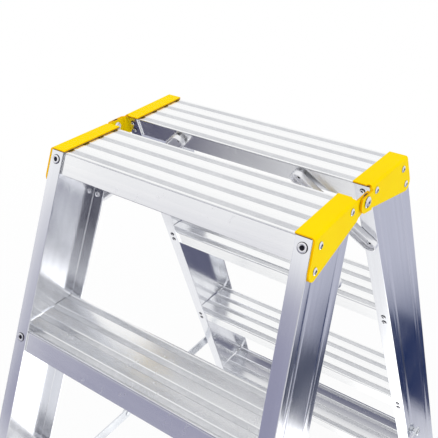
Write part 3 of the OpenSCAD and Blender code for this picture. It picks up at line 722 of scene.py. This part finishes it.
def section_point(u, w):
    """Section of the folded sheet: u runs over the fold, w from the inner to the outer face."""
    if u <= 0:
        return FOLD_X + u, w
    reach = FOLD + w
    if u < FOLD_ARC:
        a = math.pi / 2 - u / FOLD_MIDDLE
        return FOLD_X + reach * math.cos(a), -FOLD + reach * math.sin(a)
    down = u - FOLD_ARC
    return (FOLD_X + reach * math.cos(FOLD_TILT) + down * math.sin(FOLD_TILT),
            -FOLD + reach * math.sin(FOLD_TILT) - down * math.cos(FOLD_TILT))


def blank_outline():
    """Flat sheet before folding: flange, fold, leg with a round end, tongue and eye, and the notch."""
    between = LEG_CENTRE - EYE_CENTRE
    base = math.atan2(between.y, between.x)
    lower = base - math.asin((LEG_RADIUS - EYE_RADIUS) / between.length) - math.pi / 2
    inner_edge = -(BRACKET_FLANGE - FOLD - SHEET)
    flange_end = LEVEL_DEPTH - math.tan(LEAN) * SHEET / 2
    corner = 0.8 * MM
    # The last corner only guides its neighbour, because the notch takes its place.
    points = rounded([(inner_edge, 0, corner), (inner_edge, flange_end, corner), (0, flange_end, 0),
                      (0, 0, 0)], 2)[:-1]
    points.append((FOLD_ARC, LEVEL_DEPTH + math.tan(LEAN) * FOLD))
    notch_z = section_point(NOTCH, SHEET / 2)[1]
    eye_top = math.pi - math.asin((notch_z - EYE_CENTRE.y) / EYE_RADIUS)
    side = arc(LEG_CENTRE, LEG_RADIUS, LEAN, lower, 18)
    side += arc(EYE_CENTRE, EYE_RADIUS, lower, eye_top - 2 * math.pi, 30)
    points += [(unfolded(z), v) for v, z in side]
    return points + arc((0, 0), NOTCH, 0, math.pi, 10)


def folded(point, end):
    """Folds a point (u, v, w) of the flat sheet; the tongue beyond v = 0 runs square into its eye.
    A rear eye lies outside its front eye, so a rear tongue steps out at 45 degrees."""
    u, v, w = point
    x, z = section_point(u, w)
    toed_x = TOP_HALF_WIDTH + x / math.cos(FOLD_TOE) + v * math.tan(FOLD_TOE)
    place = Vector((toed_x, HALF_GAP + v, TREAD_TOP + z))
    if end == "rear":
        outset = SHEET + EYE_GAP
        ramp = (w * math.tan(math.radians(45 / 2)) - v) / outset
    else:
        outset = 0
        ramp = -v / FRONT_RAMP
    ramp = min(max(ramp, 0), 1)
    if u <= 0 or ramp == 0:
        return place
    eye = Vector((EYE_X + outset + w, HALF_GAP + v, TREAD_TOP + section_point(u, SHEET / 2)[1]))
    return place.lerp(eye, ramp)


def make_bracket(side, end):
    """Coated sheet, folded from flat, whose cut edges get a darker copy of the coat as painted shade and
    whose flange's low edges get a painted contact shadow line.
    """
    name = f"{end}_{side}_hinge_bracket"
    bm = extruded(blank_outline(), 0, SHEET)
    bm.normal_update()
    # Cut edges take the darker copy of the coat: painted shade.
    for face in bm.faces:
        face.material_index = COAT if abs(face.normal.z) > 0.5 else SHADED_EDGE_COAT
    ease_edges(bm, 0.35 * MM)
    # A painted contact shadow, partly joint dirt, lies low on the flange's edges, where they meet the tread.
    slice_across(bm, 2, [JOINT_LINE])
    bm.normal_update()
    for face in bm.faces:
        middle = face.calc_center_median()
        if middle.x < 0 and middle.z < JOINT_LINE and abs(face.normal.z) < 0.9:
            face.material_index = SHADOW_AND_DIRT
    slice_across(bm, 0, [FOLD_ARC * k / FOLD_STEPS for k in range(FOLD_STEPS + 1)])
    slice_across(bm, 1, TONGUE_SLICES)
    for v in bm.verts:
        v.co = folded(v.co, end)
    keep_grain(bm)
    settle(bm, quarter(side, end))
    coats = [YELLOW, YELLOW_SHADED_EDGE, JOINT_SHADOW_AND_DIRT]
    piece("folded_" + name, bm, end + "_frame", [name], coats, 35)


# Rivets and pins

RIVET_RADIUS, RIVET_HEAD = 2.4 * MM, 4.4 * MM
PAIR_RADIUS, PAIR_HEAD = 2.0 * MM, 3.5 * MM
HEAD_HEIGHT, TAIL_HEIGHT, TAIL_BULGE = 1.6 * MM, 2 * MM, 1.1 * MM
TUBE_RADIUS, TUBE_HEAD, TUBE_BORE = 3.6 * MM, 6.2 * MM, 2.2 * MM
TUBE_ROLL, TUBE_HEIGHT = 1.2 * MM, 1.4 * MM
PIVOT_RADIUS, PIVOT_HEAD, PIVOT_HEIGHT = 4 * MM, 6.8 * MM, 2.6 * MM
PIN_RADIUS, PIN_HEAD, PIN_HEIGHT = 3 * MM, 6 * MM, 2.2 * MM
# Depths below a tread's top of its tubular rivet and of its pair, and the pair's pitch
TUBE_DEPTH, PAIR_DEPTH, PAIR_PITCH = 10 * MM, 8.5 * MM, 13 * MM
# Level depth from the hinge side and drop below the tread, for a bracket's three rivets
BRACKET_RIVETS = [
    (13.5 * MM, 8 * MM),
    (LEVEL_DEPTH - 11.5 * MM, 11 * MM),
    (LEG_CENTRE.x - 2.2 * MM, LEG_DEPTH),
]
# Fastener slots: bright metal, and the dark steel that also serves as painted shade.
METAL, DARK = range(2)


def scaled(points, radius, height, base=0.0):
    """Profile given in shares of a head's radius and height."""
    return [(r * radius, base + z * height) for r, z in points]


def blind_rivet(bm, radius, head, grip, axes, shaded_rings=0):
    """Blind rivet on z = 0: bulged tail, shank, domed head and the sunk end of its mandrel.
    Painted shade darkens the seat of the head, as a contact shadow, and as many rings of the dome as the last
    argument says."""
    end, bulge = -grip - TAIL_HEIGHT, radius + TAIL_BULGE * 0.8
    tail = [(0, end), (radius * 0.7, end), (bulge, -grip - TAIL_HEIGHT * 0.75),
            (radius + TAIL_BULGE, -grip - TAIL_HEIGHT * 0.4), (bulge, -grip - TAIL_HEIGHT * 0.08),
            (radius, -grip), (radius, 0)]
    seat = [(head, 0), (head, 0.10 * HEAD_HEIGHT)]
    dome = scaled([(0.985, 0.26), (0.91, 0.48), (0.82, 0.66), (0.70, 0.82), (0.58, 0.94), (0.50, 1.0),
                   (0.44, 0.97), (0.41, 0.86)], head, HEAD_HEIGHT)
    mandrel = scaled([(0.38, 0.46), (0.33, 0.44), (0.30, 0.62), (0.15, 0.72), (0, 0.74)], head, HEAD_HEIGHT)
    parts = [METAL] * len(tail) + [DARK] * (len(seat) + shaded_rings)
    parts += [METAL] * (len(dome) - 1 - shaded_rings) + [DARK] * len(mandrel)
    turned(bm, tail + seat + dome + mandrel, axes, parts, 32)


def tubular_rivet(bm, axes):
    """Tubular rivet on z = 0: rolled head with a funnel into its bore, and a tail with a bulge. The lower rim
    of the head is darkened as a painted contact shadow, and the funnel and bore as painted shade.
    """
    grip = STILE_WALL + TREAD_WALL + 2 * SEAT
    height, seated, bulge = TUBE_HEIGHT, -grip - SEAT / 2, TUBE_RADIUS + TUBE_ROLL * 0.8
    tail = [(0, -grip - height), (TUBE_RADIUS, -grip - height), (bulge, -grip - height * 0.85),
            (TUBE_RADIUS + TUBE_ROLL, -grip - height * 0.5), (bulge, seated), (TUBE_RADIUS, seated),
            (TUBE_RADIUS, 0)]
    seat = [(TUBE_HEAD, 0), (TUBE_HEAD, 0.18 * height), (TUBE_HEAD - 0.15 * MM, 0.44 * height),
            (TUBE_HEAD - 0.65 * MM, 0.76 * height)]
    rolled = [(TUBE_HEAD - 1.2 * MM, 0.94 * height), (TUBE_HEAD - 2.0 * MM, height),
              (TUBE_BORE + 1.2 * MM, 0.94 * height), (TUBE_BORE + 0.7 * MM, 0.72 * height)]
    bore = [(TUBE_BORE + 0.35 * MM, 0.44 * height), (TUBE_BORE + 0.1 * MM, 0.22 * height),
            (TUBE_BORE - 0.2 * MM, 0.12 * height), (0, 0.12 * height)]
    # The rim's seat and the bore take the dark steel as painted shade.
    parts = [METAL] * len(tail) + [DARK] * 3 + [METAL] * len(rolled) + [DARK] * len(bore)
    turned(bm, tail + seat + rolled + bore, axes, parts)


def pin_head(base):
    """Domed head of a stay pin, standing on its base."""
    return scaled([(1, 0), (1, 0.28), (0.97, 0.5), (0.88, 0.74), (0.72, 0.92), (0.50, 1.0), (0.30, 1.0),
                   (0, 1.0)], PIN_HEAD, PIN_HEIGHT, base)


def fasteners(look, name, body, materials, builders):
    """One piece for the like fasteners of a node; builders are (function, axes) pairs."""
    bm = bmesh.new()
    for build, axes in builders:
        build(bm, axes)
    bmesh.ops.recalc_face_normals(bm, faces=bm.faces)
    keep_grain(bm)
    piece(f"{look}_{name}", bm, body, [name], materials, 40)


def bracket_rivet(bm, axes):
    blind_rivet(bm, RIVET_RADIUS, RIVET_HEAD, SHEET + STILE_WALL + 3 * SEAT, axes)


def inner_rivet(bm, axes):
    # Two rings of the dome are darkened as painted shade.
    blind_rivet(bm, PAIR_RADIUS, PAIR_HEAD, STILE_WALL + TREAD_WALL + 2 * SEAT, axes, 2)


def brace_tread_rivet(bm, axes):
    """Rivet with a spacer as thick as the stile's wall between the brace and the tread."""
    blind_rivet(bm, RIVET_RADIUS, RIVET_HEAD, BRACE_SHEET + STILE_WALL + TREAD_WALL + 2 * SEAT, axes)
    outer, edge = RIVET_RADIUS + 2 * MM, 0.3 * MM
    spacer = [(0, 0), (outer - edge, 0), (outer, edge), (outer, STILE_WALL - edge),
              (outer - edge, STILE_WALL), (0, STILE_WALL)]
    turned(bm, spacer, axes @ move(0, 0, -BRACE_SHEET - SEAT / 2 - STILE_WALL), segments=32)


def brace_stile_rivet(bm, axes):
    blind_rivet(bm, RIVET_RADIUS, RIVET_HEAD, BRACE_SHEET + STILE_WALL + SEAT, axes)


def foot_rivet(bm, axes):
    blind_rivet(bm, RIVET_RADIUS, RIVET_HEAD, 2 * FOOT_WALL + STILE_WALL, axes)


def both_sides(end, builders):
    """The same fasteners on both sides of one frame."""
    return [(build, quarter(side, end) @ axes) for side in SIDES for build, axes in builders]


def make_rivets(end):
    """Every rivet of one frame, one piece for each kind."""
    levels = range(1, TREADS + 1)
    on_brackets = [(bracket_rivet, web_axes(*place) @ move(SHEET + 2 * SEAT, 0, 0) @ OUTWARD)
                   for place in BRACKET_RIVETS]
    tubes = [(tubular_rivet, tread_rivet_axes(n, TUBE_DEPTH, 1) @ TO_OUTER_SIDE) for n in levels]
    pair_depths = (PAIR_DEPTH, PAIR_DEPTH + PAIR_PITCH * math.cos(LEAN))
    pairs = [(inner_rivet, tread_rivet_axes(n, depth, 0) @ TO_HINGE_SIDE)
             for n in levels for depth in pair_depths]
    braces = []
    for n in (1, TREADS):
        for build, x in ((brace_tread_rivet, 0), (brace_stile_rivet, BRACE_LENGTH)):
            braces.append((build, brace_axes(n) @ move(x, -BRACE_SHEET, 0) @ TO_HINGE_SIDE))
    drop = (TREAD_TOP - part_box(end + "_left_foot")[1].z / 2 - SOLE / 2) / (math.cos(LEAN) * math.cos(SPLAY))
    foot = STILE_AXES @ move(FOOT_WALL, STILE_DEPTH / 2, STILE_DEPTH / 2 * math.tan(LEAN) - drop) @ OUTWARD
    kinds = {
        "bracket_rivets": on_brackets,
        "tread_tube_rivets": tubes,
        "tread_inner_rivets": pairs,
        "brace_rivets": braces,
        "foot_rivets": [(foot_rivet, foot)],
    }
    for kind, builders in kinds.items():
        fasteners("domed", f"{end}_{kind}", end + "_frame", [RIVET, MANDREL_AND_SHADE],
                  both_sides(end, builders))


def stay_pin(end):
    """Shouldered pin that carries a stay arm outside the stile, as a (function, axes) pair."""
    start = web_x(STAY_Y, STAY_HEIGHT) - STILE_WALL - PIN_HEIGHT - SIDE_GAP
    shoulder = 0.85 * PIN_HEAD
    head = ARM_X[end] - start + ARM_SHEET + SIDE_GAP
    inner = PIN_HEIGHT - 0.1 * MM
    web_end = PIN_HEIGHT + SIDE_GAP + STILE_WALL + 0.4 * MM
    profile = [(0, 0), (shoulder - 0.8 * MM, 0), (shoulder - 0.2 * MM, 0.3 * MM), (shoulder, 0.9 * MM),
               (shoulder, inner), (PIN_RADIUS, inner), (PIN_RADIUS, web_end), (shoulder, web_end),
               (shoulder, head - ARM_SHEET - 2 * SIDE_GAP), (PIN_RADIUS, head - ARM_SHEET - 2 * SIDE_GAP),
               (PIN_RADIUS, head)] + pin_head(head)

    def build(bm, axes):
        turned(bm, profile, axes)
    return build, move(start, STAY_Y, STAY_HEIGHT) @ OUTWARD


def knuckle_half(bm, axes):
    """Half of the knuckle rivet: shank inside its own arm and a domed head."""
    turned(bm, [(0, SEAT - ARM_SHEET), (PIN_RADIUS, SEAT - ARM_SHEET), (PIN_RADIUS, 0)] + pin_head(0), axes)


def hinge_pivot(bm, axes):
    """Large rivet through both eyes: a low inner head, the shank and a broad outer head that is
    darkened as painted shade in its seat and in its sunk middle."""
    grip = 2 * SHEET + EYE_GAP + SIDE_GAP
    inside = [(0, -2.6), (3.6, -2.6), (4.7, -2.3), (5.5, -1.6), (5.78, -0.9), (5.78, -0.05), (4, -0.05)]
    dome = scaled([(1, 0), (1, 0.20), (0.975, 0.36), (0.90, 0.56), (0.77, 0.76), (0.61, 0.90), (0.45, 0.98),
                   (0.32, 1.0), (0.26, 0.94)], PIVOT_HEAD, PIVOT_HEIGHT, grip)
    sunk = scaled([(0.235, 0.66), (0.18, 0.60), (0, 0.60)], PIVOT_HEAD, PIVOT_HEIGHT, grip)
    profile = [(r * MM, z * MM) for r, z in inside] + [(PIVOT_RADIUS, grip)] + dome + sunk
    parts = [METAL] * (len(inside) + 1) + [DARK] + [METAL] * (len(dome) - 2) + [DARK] * len(sunk)
    turned(bm, profile, axes, parts, 48)


def hinge_washer(bm, axes):
    """Thin plastic washer between the two eyes of one side."""
    inner, outer = PIVOT_RADIUS + 0.08 * MM, 0.7 * EYE_RADIUS
    thick, edge = EYE_GAP - SIDE_GAP, 0.15 * MM
    profile = [(inner, 0), (outer - edge, 0), (outer, edge), (outer, thick - edge), (outer - edge, thick),
               (inner, thick)]
    turned_ring(bm, profile, axes, 48)


def make_pins():
    """The hinge pivots and their washers, the knuckle halves and the pins that carry the stay arms."""
    hinge = move(EYE_X, 0, TREAD_TOP - PIVOT_DEPTH) @ OUTWARD
    halves = (("front", "inner", INNER_ARM_X, INWARD), ("rear", "outer", OUTER_ARM_X + ARM_SHEET, OUTWARD))
    for side in SIDES:
        own = quarter(side, "rear")
        fasteners("domed", side + "_hinge_pivot", "front_frame", [RIVET, MANDREL_AND_SHADE],
                  [(hinge_pivot, own @ hinge)])
        for end, where, face, facing in halves:
            fasteners("domed", f"{side}_knuckle_rivet_{where}", f"{side}_{end}_arm", [ZINC],
                      [(knuckle_half, own @ move(face, 0, STAY_HEIGHT) @ facing)])
    fasteners("thin", "hinge_washers", "front_frame", [WASHER],
              both_sides("front", [(hinge_washer, hinge @ move(0, 0, SHEET))]))
    for end in ENDS:
        fasteners("domed", end + "_spreader_pivots", end + "_frame", [ZINC],
                  both_sides(end, [stay_pin(end)]))


# Knee braces and stay arms, both with round ends

END_STEPS = 14


def slot_ring(bm, radius, length, height):
    """Ring of points round a slot shape along X, at a height towards -Y."""
    far = arc((length, 0), radius, -math.pi / 2, math.pi / 2, END_STEPS)
    near = arc((0, 0), radius, math.pi / 2, 1.5 * math.pi, END_STEPS)
    return [bm.verts.new((x, -height, z)) for x, z in far + near]


def round_ended(profile, length):
    """Closed plate or tray from (radius, height) rings."""
    bm = bmesh.new()
    skin(bm, [slot_ring(bm, radius, length, height) for radius, height in profile])
    bmesh.ops.recalc_face_normals(bm, faces=bm.faces)
    return bm


def make_brace(side, end, level, number):
    """Pressed tray: rounded back edge, upright wall with an eased rim, and a filleted floor."""
    name = f"{end}_{side}_{level}_brace"
    outer = BRACE_WIDTH / 2
    inner = outer - BRACE_SHEET
    back = [(outer - 1.8 * MM, 0), (outer - 1.1 * MM, 0.12 * MM), (outer - 0.45 * MM, 0.5 * MM),
            (outer - 0.1 * MM, 1.1 * MM), (outer, 1.8 * MM)]
    rim = [(outer, BRACE_HEIGHT - 0.4 * MM), (outer - 0.12 * MM, BRACE_HEIGHT - 0.12 * MM),
           (outer - 0.4 * MM, BRACE_HEIGHT), (inner + 0.4 * MM, BRACE_HEIGHT),
           (inner + 0.12 * MM, BRACE_HEIGHT - 0.12 * MM), (inner, BRACE_HEIGHT - 0.4 * MM)]
    floor = [(inner, BRACE_SHEET + 1.4 * MM), (inner - 0.2 * MM, BRACE_SHEET + 0.7 * MM),
             (inner - 0.7 * MM, BRACE_SHEET + 0.2 * MM), (inner - 1.4 * MM, BRACE_SHEET)]
    bm = round_ended(back + rim + floor, BRACE_LENGTH)
    keep_grain(bm)
    settle(bm, quarter(side, end) @ brace_axes(number))
    piece("pressed_" + name, bm, end + "_frame", [name], [BRACE_METAL], 40)


def make_arm(side, end):
    """Stay arm: flat strip with round ends and sheared, slightly rounded edges."""
    name = f"{side}_{end}_spreader_arm"
    radius, edge = ARM_WIDTH / 2, 0.45 * MM
    profile = [(radius - edge, 0), (radius - 0.3 * edge, 0.3 * edge), (radius, edge),
               (radius, ARM_SHEET - edge), (radius - 0.3 * edge, ARM_SHEET - 0.3 * edge),
               (radius - edge, ARM_SHEET)]
    bm = round_ended(profile, STAY_Y)
    keep_grain(bm)
    # X runs along the arm to its stile pin and -Y becomes the outward side.
    lay = Matrix(((0, -1, 0, ARM_X[end]), (1, 0, 0, 0), (0, 0, 1, STAY_HEIGHT), (0, 0, 0, 1)))
    settle(bm, quarter(side, end) @ lay)
    piece("flat_" + name, bm, f"{side}_{end}_arm", [name], [ZINC], 40)


# Feet

def make_foot(side, end):
    """Moulded shoe: the CAD shape with eased edges."""
    name = f"{end}_{side}_foot"
    bm = bmesh.new()
    bm.from_mesh(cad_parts[name].data)
    bmesh.ops.remove_doubles(bm, verts=bm.verts, dist=2e-6)
    bmesh.ops.dissolve_degenerate(bm, edges=bm.edges, dist=1e-6)
    bmesh.ops.dissolve_limit(bm, angle_limit=math.radians(0.6), verts=bm.verts, edges=bm.edges)
    ease_edges(bm, 0.7 * MM)
    keep_grain(bm)
    for v in bm.verts:
        v.co.z = max(v.co.z, 0)
    piece("moulded_" + name, bm, end + "_frame", [name], [RUBBER], 40)


for end in ENDS:
    for side in SIDES:
        make_stile(side, end)
        make_bracket(side, end)
        make_brace(side, end, "top", 1)
        make_brace(side, end, "bottom", TREADS)
        make_foot(side, end)
        make_arm(side, end)
    for number in range(1, TREADS + 1):
        make_tread(number, end)
    make_rivets(end)
make_pins()


# Studio: floor, white surroundings, lamps and grey cards

FLOOR_HALF_SIZE = 14
FLOOR_GREY = (0.92, 0.92, 0.92, 1)
# Distances from the ladder's middle between which the floor turns from keeping shadows to plain white
SHADOW_NEAR, SHADOW_FAR = 0.6, 2.2


def staged(name, mesh, material, matrix=Matrix.Identity(4)):
    """Adds a piece of the studio, which isn't part of the ladder."""
    mesh.materials.append(material)
    made = new_object(name, mesh)
    made.matrix_world = matrix
    return made


def square(name, half):
    """Level square mesh, given by half its side."""
    mesh = bpy.data.meshes.new(name)
    corners = [(-half, -half, 0), (half, -half, 0), (half, half, 0), (-half, half, 0)]
    mesh.from_pydata(corners, [], [(0, 1, 2, 3)])
    return mesh


def seen_white(tree):
    """1 for what the camera and mirror-like surfaces see, 0 for soft light."""
    path = node(tree, "ShaderNodeLightPath")
    first = maths(tree, "MAXIMUM", path.outputs["Is Camera Ray"], path.outputs["Is Glossy Ray"])
    return maths(tree, "MAXIMUM", first, path.outputs["Is Transmission Ray"])


def mixed(tree, share, first, second):
    """Mix of two shader nodes: none of the second where the share is 0, only the second where it is 1."""
    mix = node(tree, "ShaderNodeMixShader")
    for socket, value in zip(mix.inputs, (share, first.outputs[0], second.outputs[0])):
        connect(tree, value, socket)
    return mix.outputs[0]


def floor_finish():
    """Pale floor that looks white and keeps the ladder's shadow."""
    material, tree, surface = new_material("Studio floor")
    matt = node(tree, "ShaderNodeBsdfPrincipled", Base_Color=FLOOR_GREY, Roughness=0.9,
                Specular_IOR_Level=0.0)
    place = node(tree, "ShaderNodeTexCoord").outputs["Object"]
    away = maths(tree, "LENGTH", place, kind="ShaderNodeVectorMath")
    share = spread(tree, away, 0.88, 1.0, SHADOW_NEAR, SHADOW_FAR)
    share = maths(tree, "MULTIPLY", seen_white(tree), share)
    connect(tree, mixed(tree, share, matt, node(tree, "ShaderNodeEmission")), surface)
    return material


def card(name, centre, along_u, along_v, colour, soft=(0.3, 0.3)):
    """Card that only reflections see, as used to shape bright metal. Its centre and its two half
    sides are given, and its outer shares, soft, fade out."""
    material, tree, surface = new_material(name)
    split = node(tree, "ShaderNodeSeparateXYZ", Vector=node(tree, "ShaderNodeTexCoord").outputs["Object"])
    fades = []
    for k in (0, 1):
        away = maths(tree, "ABSOLUTE", split.outputs[k])
        fades.append(spread(tree, away, 1, 0, 1 - soft[k], 1))
    clear = node(tree, "ShaderNodeBsdfTransparent")
    glow = node(tree, "ShaderNodeEmission", Color=(*colour, 1))
    connect(tree, mixed(tree, maths(tree, "MULTIPLY", *fades), clear, glow), surface)
    u, v = Vector(along_u), Vector(along_v)
    matrix = Matrix((u, v, u.cross(v).normalized())).transposed().to_4x4()
    made = staged(name, square(name, 1), material, Matrix.Translation(centre) @ matrix)
    made.visible_camera = made.visible_diffuse = made.visible_shadow = False
    made.visible_transmission = made.visible_volume_scatter = False


staged("studio_floor", square("studio_floor", FLOOR_HALF_SIZE), floor_finish())
card("grey_right_card", (1.35, 1.05, 0.004), (1.25, 0, 0), (0, 1.35, 0), (0.54, 0.55, 0.65))
card("dusk_right_card", (0.25, 1.00, 0.005), (0.50, 0, 0), (0, 0.45, 0), (0.20, 0.22, 0.31), (0.3, 0.9))
card("dusk_near_card", (0.76, 0.62, 0.009), (0.30, 0, 0), (0, 0.20, 0), (0.04, 0.05, 0.09), (0.4, 0.3))
card("white_right_card", (0.45, 0.18, 0.010), (0.45, 0, 0), (0, 0.31, 0), (1.9, 1.9, 1.9), (0.3, 0.1))
card("navy_back_card", (0.22, 0.86, 0.006), (0.55, 0, 0), (0, 0.20, 0), (0.012, 0.026, 0.095), (0.36, 0.25))
card("slate_back_card", (0.00, 0.60, 0.300), (0.30, 0, 0), (0, 0.25, 0), (0.125, 0.13, 0.20))
card("slate_far_left_card", (-0.60, 0.85, 0.007), (0.40, 0, 0), (0, 0.35, 0), (0.42, 0.42, 0.48))
card("slate_left_card", (-1.25, -0.60, 0.008), (1.15, 0, 0), (0, 0.52, 0), (0.05, 0.05, 0.11), (0.6, 0.1))
card("blue_front_card", (-0.75, -1.60, 0.25), (1.00, 0, 0), (0, 0, 0.78), (0.33, 0.33, 0.45), (0.45, 0.20))
card("dark_front_right_card", (1.60, -2.40, 1.34), (0.72, 0.54, 0), (0, 0, 1.02), (0.04, 0.04, 0.07),
     (0.4, 0.16))

world = bpy.data.worlds.new("Studio")
bpy.context.scene.world = world
world.use_nodes = True
sky = world.node_tree
sky.nodes.clear()
soft_light = node(sky, "ShaderNodeBackground", Color=(0.97, 0.98, 1.0, 1), Strength=0.85)
white = node(sky, "ShaderNodeBackground", Color=(1, 1, 1, 1))
node(sky, "ShaderNodeOutputWorld", Surface=mixed(sky, seen_white(sky), soft_light, white))


def softbox(name, place, side, power):
    """Square lamp turned to the middle of the ladder, which reflections don't see."""
    data = bpy.data.lights.new(name, "AREA")
    data.shape = "RECTANGLE"
    data.size = data.size_y = side
    data.energy = power
    data.specular_factor = 0.0
    lamp = new_object(name, data)
    lamp.location = place
    middle = Vector((0, 0, 0.5 * TREAD_TOP))
    lamp.rotation_euler = (middle - Vector(place)).to_track_quat("-Z", "Y").to_euler()
    lamp.visible_glossy = False


softbox("overhead_softbox", (-0.4, -0.6, 3.0), 2.4, 12)
softbox("right_softbox", (3.0, -1.2, 1.4), 2.2, 16)

# Camera, set to the photograph's own view
PICTURE_PIXELS = 438
FOCAL_PIXELS = 675.868
SENSOR = 36
CAMERA_PLACE = (0.44231, -0.62467, 1.29757)
CAMERA_UP = (-0.2936, 0.4162, 0.8606)
CAMERA_RIGHT = (0.8109, 0.5851, -0.0064)

camera_data = bpy.data.cameras.new("Photograph")
camera_data.sensor_fit = "HORIZONTAL"
camera_data.sensor_width = SENSOR
camera_data.lens = SENSOR * FOCAL_PIXELS / PICTURE_PIXELS
camera_data.clip_start = 0.02
camera = new_object("Photograph", camera_data)
up = Vector(CAMERA_UP).normalized()
right = Vector(CAMERA_RIGHT)
right = (right - up * right.dot(up)).normalized()
camera.matrix_world = move(*CAMERA_PLACE) @ Matrix((right, up, right.cross(up))).transposed().to_4x4()
bpy.context.scene.camera = camera
bpy.context.scene.view_settings.view_transform = "Standard"
